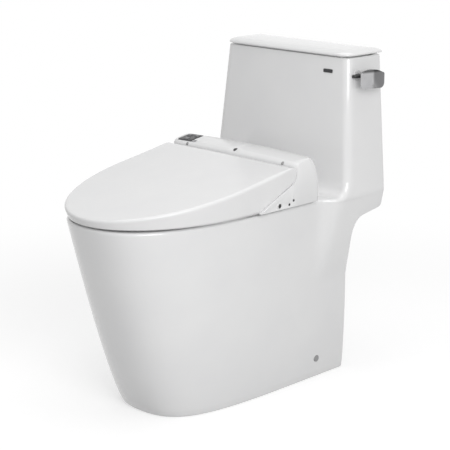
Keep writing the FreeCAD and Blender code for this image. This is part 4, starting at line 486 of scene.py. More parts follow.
sheet(china, front_steps + 2 * strip_steps + 2 * rear_half + 1, len(tank_rows), tank_place)
bmesh.ops.remove_doubles(china, verts=china.verts, dist=seam_weld)
print("china faces before closing:", len(china.faces))

# %% [markdown]
# The bowl's mouth is an oval, a little fuller than an ellipse, with a rolled lip.
# Its outline is kept as angles and reaches from the middle, so that any corner of
# a ring can be put on the oval that lies in its own direction.

# %% The mouth's outline
mouth_half, mouth_front, mouth_back, mouth_fullness = 122.0, -363.0, -25.0, 2.2
mouth_middle = (mouth_front + mouth_back) / 2
mouth_samples = 60


def mouth_outline(spread):
    """The mouth as angles and reaches from its middle, spread outwards."""
    pull = fullness_pull(mouth_fullness)
    half, long = mouth_half + spread, (mouth_back - mouth_front) / 2 + spread
    poles = [(half, 0), (half, pull * long), (half * pull, long), (0, long)]
    steps = [cubic(poles, n / mouth_samples) for n in range(mouth_samples + 1)]
    return [math.atan2(p.y, p.x) for p in steps], [p.length for p in steps]


def mouth_point(corner, spread, z):
    """Where a corner goes to lie on the mouth's outline at a height."""
    x, y = corner.co.x, corner.co.y - mouth_middle
    turn = math.atan2(abs(y), abs(x))
    turns, reaches = mouth_outline(spread)
    reach = float(np.interp(turn, turns, reaches))
    out = Vector((math.cos(turn) * reach, math.sin(turn) * reach))
    return Vector((math.copysign(out.x, x), mouth_middle + math.copysign(out.y, y), z))


print("mouth:", 2 * mouth_half, "by", mouth_back - mouth_front)

# %% [markdown]
# Closing the casting takes two tools. One finds the open edges at a height, and
# the other extrudes a ring of edges and moves its new corners to their places.

# %% Helpers for closing the china
level_tolerance = 0.3


def open_loop(mesh, z):
    """The open edges that lie at a height."""
    return [e for e in mesh.edges
            if e.is_boundary and all(abs(v.co.z - z) < level_tolerance for v in e.verts)]


def draw_in(mesh, loop, target):
    """Extrude a ring of edges and move each new corner to its target."""
    made = bmesh.ops.extrude_edge_only(mesh, edges=loop)
    corners = [item for item in made["geom"] if isinstance(item, bmesh.types.BMVert)]
    places = [target(corner) for corner in corners]
    for corner, spot in zip(corners, places):
        corner.co = spot
    return [item for item in made["geom"] if isinstance(item, bmesh.types.BMEdge) and item.is_boundary]


# %% [markdown]
# The flat deck is filled between its own edge and an even ring round the mouth.
# From that ring the lip rolls down in small steps to the ceiling inside the skirt.
# The ceiling and the tank's floor are flat, so one fill each closes them.

# %% Close the deck, the mouth, the ceiling and the tank's floor
mouth_steps, lip_steps = 96, 5
lip_radius, lip_foot = 7.0, 14.0
deck_edge = open_loop(china, rim)
ring = []
for step in range(mouth_steps):
    turn = 2 * math.pi * step / mouth_steps
    ring.append(china.verts.new((math.cos(turn), mouth_middle + math.sin(turn), rim)))
    ring[-1].co = mouth_point(ring[-1], lip_radius, rim)
lip = [china.edges.new((ring[step - 1], ring[step])) for step in range(mouth_steps)]
bmesh.ops.triangle_fill(china, edges=deck_edge + lip, use_beauty=True, use_dissolve=False)
for step in range(1, lip_steps + 1):
    sine, cosine = quarter(step, lip_steps)
    spread, z = lip_radius * (1 - sine), rim - lip_radius * (1 - cosine)
    lip = draw_in(china, lip, lambda corner: mouth_point(corner, spread, z))
for z in (ceiling + lip_foot, ceiling):
    lip = draw_in(china, lip, lambda corner: mouth_point(corner, 0.0, z))
bmesh.ops.triangle_fill(china, edges=open_loop(china, ceiling), use_beauty=True, use_dissolve=False)
bmesh.ops.edgeloop_fill(china, edges=open_loop(china, tank_floor))
print("deck edge:", len(deck_edge), "open edges left:", sum(e.is_boundary for e in china.edges))
finish_mesh(china, "china_casting", "pedestal", "china", ["china_body"])

# %% [markdown]
# The tank lid is a slab of the same china with large round corners at the front.
# It is laid as levels of one outline, drawn in for the rounded edges, and its top
# is crowned by less than a millimetre, as a fired slab is.

# %% The tank lid's outline
slab_half, slab_front, slab_back = 188.0, 169.0, 290.0
slab_low, slab_top = 735.2, 750.2
slab_corner, slab_back_corner, slab_bow = 30.0, 3.0, 2.5
least_front_corner, least_back_corner = 2.0, 0.5
slab_front_steps, slab_corner_steps, slab_side_steps, slab_back_steps = 24, 10, 12, 4


def slab_outline(inset):
    """Right half of the outline, from the middle of the front to that of the back."""
    points = []
    front, half, rear = slab_front + slab_bow + inset, slab_half - inset, slab_back - inset
    corner = max(slab_corner - inset, least_front_corner)
    back_corner = max(slab_back_corner - inset, least_back_corner)
    for n in range(slab_front_steps):
        x = (half - corner) * n / slab_front_steps
        points.append((x, front - slab_bow * (1 - (x / slab_half) ** 2)))
    for n in range(slab_corner_steps + 1):
        sine, cosine = quarter(n, slab_corner_steps)
        drop = slab_bow * (1 - ((half - corner) / slab_half) ** 2) * (1 - n / slab_corner_steps)
        points.append((half - corner * (1 - sine), front + corner * (1 - cosine) - drop))
    for n in range(1, slab_side_steps):
        points.append((half, blend_between(front + corner, rear - back_corner, n / slab_side_steps)))
    for n in range(slab_back_steps + 1):
        sine, cosine = quarter(n, slab_back_steps)
        points.append((half - back_corner * (1 - cosine), rear - back_corner * (1 - sine)))
    for n in range(1, slab_front_steps + 1):
        points.append(((half - back_corner) * (1 - n / slab_front_steps), rear))
    return points


slab_half_count = len(slab_outline(0.0)) - 1


def slab_place(levels):
    """A place function that lays one outline at each inset and height."""
    outlines = [slab_outline(inset) for inset, _ in levels]

    def place(column, row):
        mirrored = -1 if column > slab_half_count else 1
        step = 2 * slab_half_count - column if column > slab_half_count else column
        x, y = outlines[row][step]
        return Vector((mirrored * x, y, levels[row][1]))

    return place


print("steps round the slab:", 2 * slab_half_count)

# %% [markdown]
# The slab's underside has a shallow groove that throws its edge into shadow, as on
# the real lid. Above it the side bulges out and rolls over in one wide round.

# %% Tank lid
round_reach, round_rise, round_steps = 27.0, 10.0, 12
under_reach, under_rise, under_steps, groove = 2.4, 1.3, 5, 2.8
crown_rise = 0.9
widest = slab_top - crown_rise - round_rise
under_levels = [(46.0, 0.0), (24.0, 0.0), (9.0, 0.0), (8.4, 0.6), (8.0, groove)]
crown_levels = [(33.0, 0.55), (40.0, 0.25), (52.0, 0.0)]

slab_levels = [(inset, slab_low + rise) for inset, rise in under_levels]
for n in range(under_steps + 1):
    sine, cosine = quarter(n, under_steps)
    slab_levels.append((under_reach * (1 - sine), slab_low + groove + under_rise * (1 - cosine)))
for n in range(round_steps + 1):
    sine, cosine = quarter(n, round_steps)
    slab_levels.append((round_reach * (1 - cosine), widest + round_rise * sine))
slab_levels += [(inset, slab_top - drop) for inset, drop in crown_levels]

slab = bmesh.new()
sheet(slab, 2 * slab_half_count + 1, len(slab_levels), slab_place(slab_levels))
bmesh.ops.remove_doubles(slab, verts=slab.verts, dist=piece_weld)
bmesh.ops.edgeloop_fill(slab, edges=[e for e in slab.edges if e.is_boundary and e.verts[0].co.z > widest])
bmesh.ops.edgeloop_fill(slab, edges=[e for e in slab.edges if e.is_boundary])
print("slab levels:", len(slab_levels), "open edges:", sum(e.is_boundary for e in slab.edges))

# %% [markdown]
# A rib hangs below the slab and keeps the lid from sliding off the tank. It follows
# the same outline, drawn in, so it is one more grid of the same kind.

# %% Rib under the tank lid
rib_outer, rib_inner, rib_depth, rib_round = 18.0, 23.0, 7.0, 1.0
rib_levels = [(rib_outer, slab_low), (rib_outer, slab_low - (rib_depth - rib_round)),
              (rib_outer + rib_round, slab_low - rib_depth), (rib_inner - rib_round, slab_low - rib_depth),
              (rib_inner, slab_low - (rib_depth - rib_round)), (rib_inner, slab_low)]
sheet(slab, 2 * slab_half_count + 1, len(rib_levels), slab_place(rib_levels))
finish_mesh(slab, "tank_lid_slab", "tank_lid", "china", ["tank_lid"])

# %% [markdown]
# The seat lid is a thin shell of gloss plastic: a tilted, slightly crowned top, a
# skirt that draws in towards the rim, and two ears that reach back round the
# hinge. Half of it is laid as strips that share their columns, then mirrored.

# %% Sizes of the seat lid
hinge_y, hinge_z = -10.0, 504.5
cover_foot, cover_slope, cover_crown = 438.5, 0.169, 1.6
cover_half, cover_draw = 194.5, 10.0
cover_nose, cover_nose_height, cover_run, cover_nose_draw = -421.0, 455.4, 280.0, 8.0
cover_turn_y = cover_nose + cover_run
barrel_radius = 20.24
ear_start = -97.0
edge_round, ear_round = 7.0, 1.5
cover_wall, cover_fullness = 3.5, 2.03
flange_reach = 10.0
cover_pull = fullness_pull(cover_fullness)
top_tilt = math.degrees(math.atan(cover_slope))


def cover_plane(x, y):
    """Height of the lid's top, a little lower towards its sides."""
    return cover_nose_height + cover_slope * (y - cover_nose) - cover_crown * (x / cover_half) ** 2


def cover_wall_x(y, z):
    """How far out the skirt's side stands at a depth and height."""
    rise = (z - cover_foot) / (cover_plane(cover_half, min(y, hinge_y)) - cover_foot)
    return cover_half - cover_draw * (1 - min(rise, 1.0))


print("lid top at its nose and at the hinge:", cover_plane(0, cover_nose), cover_plane(0, hinge_y))

# %% [markdown]
# The rear of each ear is a barrel round the hinge's axis, so the lid can turn
# without opening a gap. The ear's lower edge runs up in a straight line that just
# touches this barrel, and the touching point is worked out from the angle.

# %% The ear and its barrel
def on_barrel(degrees, radius=barrel_radius):
    turn = math.radians(degrees)
    return Vector((hinge_y + radius * math.cos(turn), hinge_z + radius * math.sin(turn)))


def to_hinge(spot):
    """The way from a side view point to the hinge's axis."""
    return (on_barrel(0.0, 0.0) - spot).normalized()


ear_rise, ear_run = hinge_z - cover_foot, hinge_y - ear_start
ear_turn = math.atan2(ear_rise, ear_run) - math.asin(barrel_radius / math.hypot(ear_rise, ear_run))
ear_tangent_degrees = math.degrees(ear_turn) - 90
ear_top = on_barrel(ear_tangent_degrees)
print("ear meets the barrel at", tuple(ear_top))

# %% [markdown]
# Every strip of the shell has the same columns. Along the nose a column has one
# share of the plan outline. Along the side it has a point on the top's edge and
# a point on the lower edge, each with the way that leads from it into the wall.

# %% Columns of the seat lid: where each one meets the top's edge and the foot
nose_columns = 36
side_line_columns, barrel_columns, curtain_columns = 12, 7, 3
foot_columns, slant_columns = 4, 12
side_columns = side_line_columns + barrel_columns + curtain_columns
bend_columns, fade_columns = 4, 8
curtain_degrees, crown_fade_degrees = 30.0, 60.0


def nose_outline(share, low):
    """Plan point of the lid's nose, 0 at its tip and 1 at its flank."""
    half = cover_half - (cover_draw if low else 0.0)
    tip = cover_nose + (cover_nose_draw if low else 0.0)
    run = cover_turn_y - tip
    poles = [(0, tip), (half * cover_pull, tip), (half, cover_turn_y - cover_pull * run), (half, cover_turn_y)]
    return cubic(poles, share)


def side_top(step):
    """Side view point of the top's edge, and the way down into the wall."""
    if step <= side_line_columns:
        start = on_barrel(90 + top_tilt)
        y = blend_between(cover_turn_y, start.x, step / side_line_columns)
        bend = max(step - side_line_columns + bend_columns, 0) / bend_columns
        turn = math.radians(-90 + top_tilt * bend)
        return Vector((y, cover_plane(cover_half, y))), Vector((math.cos(turn), math.sin(turn)))
    step -= side_line_columns
    if step <= barrel_columns:
        degrees = blend_between(90 + top_tilt, curtain_degrees, step / barrel_columns)
    else:
        degrees = curtain_degrees * (1 - (step - barrel_columns) / curtain_columns)
    drop = cover_crown * unit((degrees - curtain_degrees) / crown_fade_degrees)
    spot = on_barrel(degrees)
    return spot - Vector((0, drop)), to_hinge(spot)


def side_foot(step):
    """Side view point of the lower edge, and the way from it into the wall."""
    if step <= foot_columns:
        return Vector((blend_between(cover_turn_y, ear_start, step / foot_columns), cover_foot)), Vector((0, 1))
    step -= foot_columns
    if step <= slant_columns:
        spot = Vector((ear_start, cover_foot)).lerp(ear_top, step / slant_columns)
        return spot, Vector((-math.sin(ear_turn), math.cos(ear_turn)))
    past_slant = (step - slant_columns) / (side_columns - foot_columns - slant_columns)
    spot = on_barrel(ear_tangent_degrees * (1 - past_slant))
    return spot, to_hinge(spot)


def edge_radius(column):
    """Radius of the top's edge, which fades where it goes round the barrel."""
    if column <= nose_columns:
        return edge_round
    return blend_between(edge_round, ear_round, unit((column - nose_columns - fade_columns) / fade_columns))


def crown_left(column):
    """How much of the top's crown is left at a column: none behind the barrel."""
    return 1 - unit((column - nose_columns - side_line_columns) / barrel_columns)


print("columns on half of the lid:", nose_columns + side_columns + 1)

# %% [markdown]
# All strips read one function. It starts at the top's edge and moves in along the
# top and down the wall, so that the rounded edge, the wall and the top agree.

# %% A point near the top's edge
def top_edge_point(column, inward, down):
    """A point near the top's edge, moved in along the top and down the wall."""
    if column <= nose_columns:
        share = column / nose_columns
        plan, low = nose_outline(share, False), nose_outline(share, True)
        ahead = heading(lambda part: nose_outline(part, False), share)
        out = Vector((ahead.y, -ahead.x)).normalized() if column else Vector((0, -1))
        edge = Vector((plan.x, plan.y, cover_plane(plan.x, plan.y)))
        fall = (Vector((low.x, low.y, cover_foot)) - edge).normalized()
        inside = edge - Vector((out.x, out.y, 0)) * inward
        inside.z = cover_plane(inside.x, inside.y)
        return inside + fall * down
    spot, fall = side_top(column - nose_columns)
    lowered = spot + fall * down
    x = cover_wall_x(*lowered) - inward
    lift = cover_plane(x, 0.0) - cover_plane(cover_half, 0.0)
    return Vector((x, lowered.x, lowered.y + lift * crown_left(column)))


# %% [markdown]
# The strips are the rounded edge, the wall below it, the flange along the ear's
# lower edge, a first band of the top and the rest of the top up to the middle.

# %% Strips of the seat lid
edge_steps, wall_steps, collar_steps, top_steps = 7, 8, 2, 14
flange_round_steps, flange_steps = 3, 2
spine_start = -340.0


def edge_place(column, row):
    sine, cosine = quarter(row, edge_steps)
    radius = edge_radius(column)
    return top_edge_point(column, radius * (1 - cosine), radius * (1 - sine))


def wall_place(column, row):
    share = row / wall_steps
    high = top_edge_point(column, 0.0, edge_radius(column))
    if column <= nose_columns:
        low = nose_outline(column / nose_columns, True)
        return high.lerp(Vector((low.x, low.y, cover_foot)), share)
    step = column - nose_columns
    foot, inwards = side_foot(step)
    foot = foot + inwards * ear_round * unit((step - foot_columns) / 2)
    spot = Vector((high.y, high.z)).lerp(foot, share)
    return Vector((cover_wall_x(*spot), spot.x, spot.y))


def flange_place(column, row):
    """The ear's lower edge: a small round, then a flange turned inwards."""
    foot, inwards = side_foot(column + foot_columns)
    radius = ear_round * unit(column / 2)
    if row <= flange_round_steps:
        sine, cosine = quarter(row, flange_round_steps)
        spot = foot + inwards * radius * (1 - sine)
        return Vector((cover_wall_x(*spot) - radius * (1 - cosine), spot.x, spot.y))
    reach = blend_between(radius, flange_reach, (row - flange_round_steps) / flange_steps)
    return Vector((cover_wall_x(*foot) - reach, foot.x, foot.y))


def collar_place(column, row):
    """The first band of the top, from the rounded edge to the flange's reach."""
    return top_edge_point(column, blend_between(edge_radius(column), flange_reach, row / collar_steps), 0.0)


def top_place(column, row):
    """The rest of the top, drawn from the band towards the lid's middle line."""
    edge = top_edge_point(column, flange_reach, 0.0)
    share = row / top_steps
    spine = Vector((0, edge.y))
    if column <= nose_columns:
        spine = Vector((0, blend_between(spine_start, cover_turn_y, column / nose_columns)))
    x, y = blend_between(edge.x, spine.x, share), blend_between(edge.y, spine.y, share)
    lift = (cover_plane(x, y) - cover_plane(edge.x, y)) * crown_left(column)
    rise = cover_slope * (y - edge.y)
    return Vector((x, y, edge.z + lift + rise))


# %% [markdown]
# The strips are laid, welded and mirrored. Turning the faces outwards on an open
# shell can end up either way round, so the highest face decides. The shell gets
# its plastic thickness last, from a modifier that grows it inwards.

# %% Seat lid
cover_weld = 0.05
all_columns = nose_columns + side_columns
cover = bmesh.new()
sheet(cover, all_columns + 1, edge_steps + 1, edge_place)
sheet(cover, all_columns + 1, wall_steps + 1, wall_place)
sheet(cover, side_columns - foot_columns + 1, flange_round_steps + flange_steps + 1, flange_place)
sheet(cover, all_columns + 1, collar_steps + 1, collar_place)
sheet(cover, all_columns - curtain_columns + 1, top_steps + 1, top_place)
bmesh.ops.remove_doubles(cover, verts=cover.verts, dist=cover_weld)
whole_half = cover.verts[:] + cover.edges[:] + cover.faces[:]
bmesh.ops.mirror(cover, geom=whole_half, merge_dist=cover_weld, axis="X")
bmesh.ops.remove_doubles(cover, verts=cover.verts, dist=cover_weld)
bmesh.ops.recalc_face_normals(cover, faces=cover.faces)
highest = max(cover.faces, key=lambda face: face.calc_center_median().z)
if highest.normal.z < 0:
    bmesh.ops.reverse_faces(cover, faces=cover.faces)
print("open edges before the wall:", sum(edge.is_boundary for edge in cover.edges))
bmesh.ops.scale(cover, vec=(MM, MM, MM), verts=cover.verts)
cover_data = smooth_data(cover, "seat_lid_shell")
cover_piece = add_piece(cover_data, "seat_lid_shell", "lid", "seat_plastic", ["seat_lid"])
shell_wall = cover_piece.modifiers.new("wall", "SOLIDIFY")
shell_wall.thickness = cover_wall * MM
shell_wall.offset = -1.0
shell_wall.use_even_offset = True

# %% [markdown]
# Under the lid two eyes hang on short stalks and turn on the hinge pins. Each is
# a cylinder with a block on it, and a small bevel takes the sharpness off.

# %% Hinge eyes under the seat lid
eye_inner, eye_width, eye_radius = 154.0, 12.0, 11.0
stalk_back, stalk_top = 6.6, 522.0
eye_bevel, sharp_turn = 0.6, 1.0
eyes = bmesh.new()
for side in (1, -1):
    middle = side * (eye_inner + eye_width / 2)
    made = bmesh.ops.create_cone(eyes, cap_ends=True, segments=48, radius1=eye_radius, radius2=eye_radius,
                                 depth=eye_width)
    bmesh.ops.rotate(eyes, verts=made["verts"], matrix=Matrix.Rotation(math.pi / 2, 3, "Y"))
    bmesh.ops.translate(eyes, verts=made["verts"], vec=(middle, hinge_y, hinge_z))
    made = bmesh.ops.create_cube(eyes, size=1.0)
    depth, height = eye_radius + stalk_back, stalk_top - hinge_z
    bmesh.ops.scale(eyes, verts=made["verts"], vec=(eye_width, depth, height))
    bmesh.ops.translate(eyes, verts=made["verts"],
                        vec=(middle, hinge_y + (stalk_back - eye_radius) / 2, hinge_z + height / 2))
bmesh.ops.bevel(eyes, geom=[e for e in eyes.edges if e.calc_face_angle(0) > sharp_turn], offset=eye_bevel,
                segments=2, affect="EDGES", profile=0.5, material=-1, clamp_overlap=True)
finish_mesh(eyes, "seat_lid_eyes", "lid", "seat_plastic")

# %% [markdown]
# The housing's top is moulded with a slight crown, its rear is bowed and its front
# lip rolls over. The engineering model is flat there, so the copies are cut into
# strips first, because only corners can be moved, and then pushed into shape.

# %% The housing's crowned top
housing_half, housing_lip_y, housing_top_depth = 192.0, 12.5, 43.5
crown_low, crown_full = 500.0, 528.0
housing_crown, housing_bow, lip_round = 3.0, 8.0, 10.0
strip_count, lip_cuts, cut_tolerance = 9, 6, 1e-6
crowned = {"housing_cover", "control_panel", "stop_button", "rear_wash_button", "front_wash_button",
           "indicator_window", "seat_sensor"}


def crown_top(mesh):
    """Cut the top into strips, raise and bow its middle, and round the front lip."""
    cuts = [((1, 0, 0), (housing_half * n / strip_count, 0, 0)) for n in range(1 - strip_count, strip_count)]
    for n in range(1, lip_cuts + 1):
        cuts.append(((0, 1, 0), (0, housing_lip_y + lip_round * (1 - quarter(n, lip_cuts)[1]), 0)))
    for facing, spot in cuts:
        everything = mesh.verts[:] + mesh.edges[:] + mesh.faces[:]
        bmesh.ops.bisect_plane(mesh, geom=everything, dist=cut_tolerance, plane_no=facing,
                               plane_co=Vector(spot) * MM)
    for corner in mesh.verts:
        x, y, z = corner.co / MM
        middle = 1 - (x / housing_half) ** 2
        up = unit((z - crown_low) / (crown_full - crown_low))
        rear = unit((y - housing_lip_y) / housing_top_depth)
        ahead = min(max(housing_lip_y + lip_round - y, 0.0), lip_round)
        fall = lip_round - math.sqrt(lip_round**2 - ahead**2)
        corner.co.z += (housing_crown * middle - fall) * up * MM
        corner.co.y += housing_bow * middle * up * rear * MM


print("copies that get the crown:", len(crowned))

# %% [markdown]
# The other parts keep the form of the engineering model. Its meshes are loose
# triangles, so each is copied, welded and shaded smooth, and a fine bevel rounds
# the corners, because no moulded or cast part has a perfectly sharp one.

# %% Welded copies with rounded corners
weld_distance, flat_degrees = 2e-6, 0.2
slot_of = {part["node"]: part["material_slot"] for part in frame["record"]["subparts"]}
shown_as = {"filter_plug": "black_plastic", "drain_plugs": "black_plastic", "filter_ring": "seat_plastic"}
bodies = frame["record"]["behaviour"]["bodies"]
body_of = {node: body for body, members in bodies.items() for node in members}


def softened_copy(node, radius):
    """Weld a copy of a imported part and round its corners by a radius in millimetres."""
    mesh = bmesh.new()
    mesh.from_mesh(nodes[node].data)
    bmesh.ops.remove_doubles(mesh, verts=mesh.verts, dist=weld_distance)
    bmesh.ops.dissolve_limit(mesh, angle_limit=math.radians(flat_degrees), verts=mesh.verts, edges=mesh.edges)
    if node in crowned:
        crown_top(mesh)
    name = node + "_finished"
    data = smooth_data(mesh, name)
    if not radius:
        sharpen(data)
    piece = add_piece(data, name, body_of[node], shown_as.get(node, slot_of[node]), [node])
    if radius:
        rounding = piece.modifiers.new("rounding", "BEVEL")
        rounding.width = radius * MM
        rounding.segments = 2
        rounding.limit_method = "ANGLE"
        rounding.angle_limit = math.radians(crease_degrees)
        rounding.harden_normals = True


# %% [markdown]
# How round a corner is depends on how the part is made. Large mouldings have the
# widest rounds, and buttons and trim finer ones. The basin, the trapway and the
# tubes get none, because their surfaces are round already.

# %% Corner rounds of the kept parts
remade = {"china_body", "tank_lid", "seat_lid"}
usual_radius = 0.4
corner_radius = {
    "housing_cover": 1.0, "seat_ring": 0.8, "flush_handle": 0.9, "heater_tank": 0.8, "wash_pump": 0.8,
    "floor_brackets": 0.8, "housing_base": 0.6, "control_panel": 0.35, "stop_button": 0.35,
    "rear_wash_button": 0.35, "front_wash_button": 0.35, "indicator_window": 0.3, "filter_plug": 0.3,
    "drain_plugs": 0.3, "side_screw_caps": 0.3, "circuit_board": 0.15, "bowl_basin": 0.0, "trapway": 0.0,
    "refill_tube": 0.0, "water_hoses": 0.0,
}
for node in sorted(set(nodes) - remade):
    softened_copy(node, corner_radius.get(node, usual_radius))

# %% [markdown]
# Two small rubber buffers sit in the housing's front lip, where the raised lid
# comes to rest. Each is a round button, flattened towards the lip.

# %% Buffers in the front lip
buffer_spots = ((-148.0, 14.4, 523.6), (148.0, 14.4, 523.6))
buffer_radius, buffer_flat, buffer_tilt = 4.2, 0.5, 55.0
buffers = bmesh.new()
for spot in buffer_spots:
    made = bmesh.ops.create_uvsphere(buffers, u_segments=24, v_segments=12, radius=buffer_radius)
    bmesh.ops.scale(buffers, verts=made["verts"], vec=(1, 1, buffer_flat))
    bmesh.ops.rotate(buffers, verts=made["verts"], matrix=Matrix.Rotation(math.radians(buffer_tilt), 3, "X"))
    bmesh.ops.translate(buffers, verts=made["verts"], vec=spot)
finish_mesh(buffers, "lid_buffers", body_of["housing_cover"], "small_caps")

# %% [markdown]
# The lever's chrome paddle hangs from a short dark neck that leads back along the
# tank's side. It is a bar, drawn thinner towards its front end and rounded.

# %% Dark neck of the flush lever
neck_low, neck_high = (188.6, 186.0, 691.0), (202.0, 208.0, 699.0)
neck_taper, neck_round = 0.8, 2.2
neck = bmesh.new()
bmesh.ops.create_cube(neck, size=1.0)
for corner in neck.verts:
    across, along, up = (side + 0.5 for side in corner.co)
    thin = neck_taper if along < 0.5 else 1.0
    corner.co = (blend_between(neck_low[0], neck_high[0], across * thin),
                 blend_between(neck_low[1], neck_high[1], along),
                 blend_between(neck_low[2], neck_high[2], 0.5 + (up - 0.5) * thin))
bmesh.ops.bevel(neck, geom=neck.edges[:], offset=neck_round, segments=4, affect="EDGES", profile=0.5,
                material=-1, clamp_overlap=True)
finish_mesh(neck, "lever_neck", body_of["flush_handle"], "black_plastic")

# %% [markdown]
# A small plain plate sits high on the right of the tank's front. It is blank: a
# disc squared up, flattened and given a rounded edge, laid on the leaning china.

# %% Blank plate on the tank
plate_middle, plate_half_length, plate_half_height = (132.0, 703.0), 12.5, 4.0
plate_thick, plate_round, plate_proud, plate_fullness = 1.0, 0.4, 0.2, 9
plate = bmesh.new()
bmesh.ops.create_cone(plate, cap_ends=True, segments=64, radius1=1.0, radius2=1.0, depth=plate_thick)
for corner in plate.verts:
    x, y = abs(corner.co.x), abs(corner.co.y)
    fuller = 1.0 / (x**plate_fullness + y**plate_fullness) ** (1 / plate_fullness)
    corner.co.x *= fuller * plate_half_length
    corner.co.y *= fuller * plate_half_height
plate_edge = [e for e in plate.edges if all(v.co.z > 0 for v in e.verts) and e.calc_face_angle(0) > sharp_turn]
bmesh.ops.bevel(plate, geom=plate_edge, offset=plate_round, segments=3, affect="EDGES", profile=0.5, material=-1)
plate_y = tank_foot + (tank_head - tank_foot) * (plate_middle[1] - rise_top) / (tank_top - rise_top)
plate_y += plate_middle[0] ** 2 / (2 * bow_radius)
stand_up = Matrix.Rotation(math.pi / 2 - math.atan2(tank_lean.x, tank_lean.y), 4, "X")
turn_out = Matrix.Rotation(plate_middle[0] / bow_radius, 4, "Z")
seat_on_tank = Matrix.Translation((plate_middle[0], plate_y - plate_thick / 2 + plate_proud, plate_middle[1]))
bmesh.ops.transform(plate, matrix=seat_on_tank @ turn_out @ stand_up, verts=plate.verts)
finish_mesh(plate, "blank_plate", "pedestal", "panel")

# %% [markdown]
# Real finishes are never one even colour. One node group gives every material its
# slow change of tone, its change of gloss and its fine surface texture, and each
# material sets the scale and the strength of these for what it is made of.

# %% A node group for uneven finishes
NUMBER, COLOUR, VECTOR = "NodeSocketFloat", "NodeSocketColor", "NodeSocketVector"


def new_group(name, inputs, outputs):
    group = bpy.data.node_groups.new(name, "ShaderNodeTree")
    for label, kind in inputs:
        group.interface.new_socket(name=label, in_out="INPUT", socket_type=kind)
    for label, kind in outputs:
        group.interface.new_socket(name=label, in_out="OUTPUT", socket_type=kind)
    return group, group.nodes.new("NodeGroupInput"), group.nodes.new("NodeGroupOutput")


uneven_finish, given, result = new_group(
    "uneven_finish",
    [("Colour", COLOUR), ("Shade", COLOUR), ("Patches", NUMBER), ("Grain", NUMBER), ("Stretch", VECTOR),
     ("Smoothest", NUMBER), ("Roughest", NUMBER)],
    [("Colour", COLOUR), ("Roughness", NUMBER), ("Height", NUMBER)])
join = uneven_finish.links.new
place_on_piece = uneven_finish.nodes.new("ShaderNodeTexCoord")
print("group sockets:", len(uneven_finish.interface.items_tree))

# %% [markdown]
# The tone drifts between two near colours in slow patches. Noise stays close to
# its middle value, so the range in which it moves is stretched before it mixes.

# %% Patches of tone
patch_detail, patch_low, patch_high = 3.0, 0.3, 0.7
patches = uneven_finish.nodes.new("ShaderNodeTexNoise")
patches.inputs["Detail"].default_value = patch_detail
join(place_on_piece.outputs["Object"], patches.inputs["Vector"])
join(given.outputs["Patches"], patches.inputs["Scale"])
patch_range = uneven_finish.nodes.new("ShaderNodeMapRange")
patch_range.inputs["From Min"].default_value = patch_low
patch_range.inputs["From Max"].default_value = patch_high
join(patches.outputs["Fac"], patch_range.inputs["Value"])
tone = uneven_finish.nodes.new("ShaderNodeMix")
tone.data_type = "RGBA"
join(patch_range.outputs["Result"], tone.inputs["Factor"])
join(given.outputs["Colour"], tone.inputs["A"])
join(given.outputs["Shade"], tone.inputs["B"])
join(tone.outputs["Result"], result.inputs["Colour"])

# %% [markdown]
# A finer noise makes the surface's grain. It gives the height for the bumps and
# also moves the gloss between its smoothest and its roughest value. A stretch
# along one direction turns the same grain into brush marks.

# %% Grain and gloss
grain_detail, grain_low, grain_high = 2.0, 0.35, 0.65
stretch = uneven_finish.nodes.new("ShaderNodeMapping")
join(place_on_piece.outputs["Object"], stretch.inputs["Vector"])
join(given.outputs["Stretch"], stretch.inputs["Scale"])
grain = uneven_finish.nodes.new("ShaderNodeTexNoise")
grain.inputs["Detail"].default_value = grain_detail
join(stretch.outputs["Vector"], grain.inputs["Vector"])
join(given.outputs["Grain"], grain.inputs["Scale"])
join(grain.outputs["Fac"], result.inputs["Height"])
gloss = uneven_finish.nodes.new("ShaderNodeMapRange")
gloss.inputs["From Min"].default_value = grain_low
gloss.inputs["From Max"].default_value = grain_high
join(grain.outputs["Fac"], gloss.inputs["Value"])
join(given.outputs["Smoothest"], gloss.inputs["To Min"])
join(given.outputs["Roughest"], gloss.inputs["To Max"])
join(gloss.outputs["Result"], result.inputs["Roughness"])
print("group nodes:", len(uneven_finish.nodes))

# %% [markdown]
# A material places the group, feeds its three results to the shader and sets its
# own values. What is the same all over, such as a coat or a metal's share, is set
# on the shader itself.

# %% How a finish is made
relief_depth = 0.0005
finishes = {}


def add_finish(slot_name, name, colour, shade, patches, grain, smooth, rough, bump, stretch=(1, 1, 1),
               **shader_values):
    """Make the material of a slot: tones, scales of patches and grain, gloss range and bump."""
    made = bpy.data.materials.new(name)
    made.use_nodes = True
    tree = made.node_tree
    shader = tree.nodes["Principled BSDF"]
    finish = tree.nodes.new("ShaderNodeGroup")
    finish.node_tree = uneven_finish
    finish.inputs["Colour"].default_value = (*colour, 1)
    finish.inputs["Shade"].default_value = (*shade, 1)
    finish.inputs["Patches"].default_value = patches
    finish.inputs["Grain"].default_value = grain
    finish.inputs["Stretch"].default_value = stretch
    finish.inputs["Smoothest"].default_value = smooth
    finish.inputs["Roughest"].default_value = rough
    relief = tree.nodes.new("ShaderNodeBump")
    relief.inputs["Strength"].default_value = bump
    relief.inputs["Distance"].default_value = relief_depth
    tree.links.new(finish.outputs["Height"], relief.inputs["Height"])
    tree.links.new(finish.outputs["Colour"], shader.inputs["Base Color"])
    tree.links.new(finish.outputs["Roughness"], shader.inputs["Roughness"])
    tree.links.new(relief.outputs["Normal"], shader.inputs["Normal"])
    for label, value in shader_values.items():
        shader.inputs[label.replace("_", " ")].default_value = value
    finishes[slot_name] = made


def finish_node(tree):
    """The uneven finish that a material holds."""
    return next(n for n in tree.nodes if n.type == "GROUP")


# %% [markdown]
# Glaze has long, barely felt waves under a clear coat. The seat's moulded plastic
# is almost the same white, with a fainter and finer orange peel and less shine.

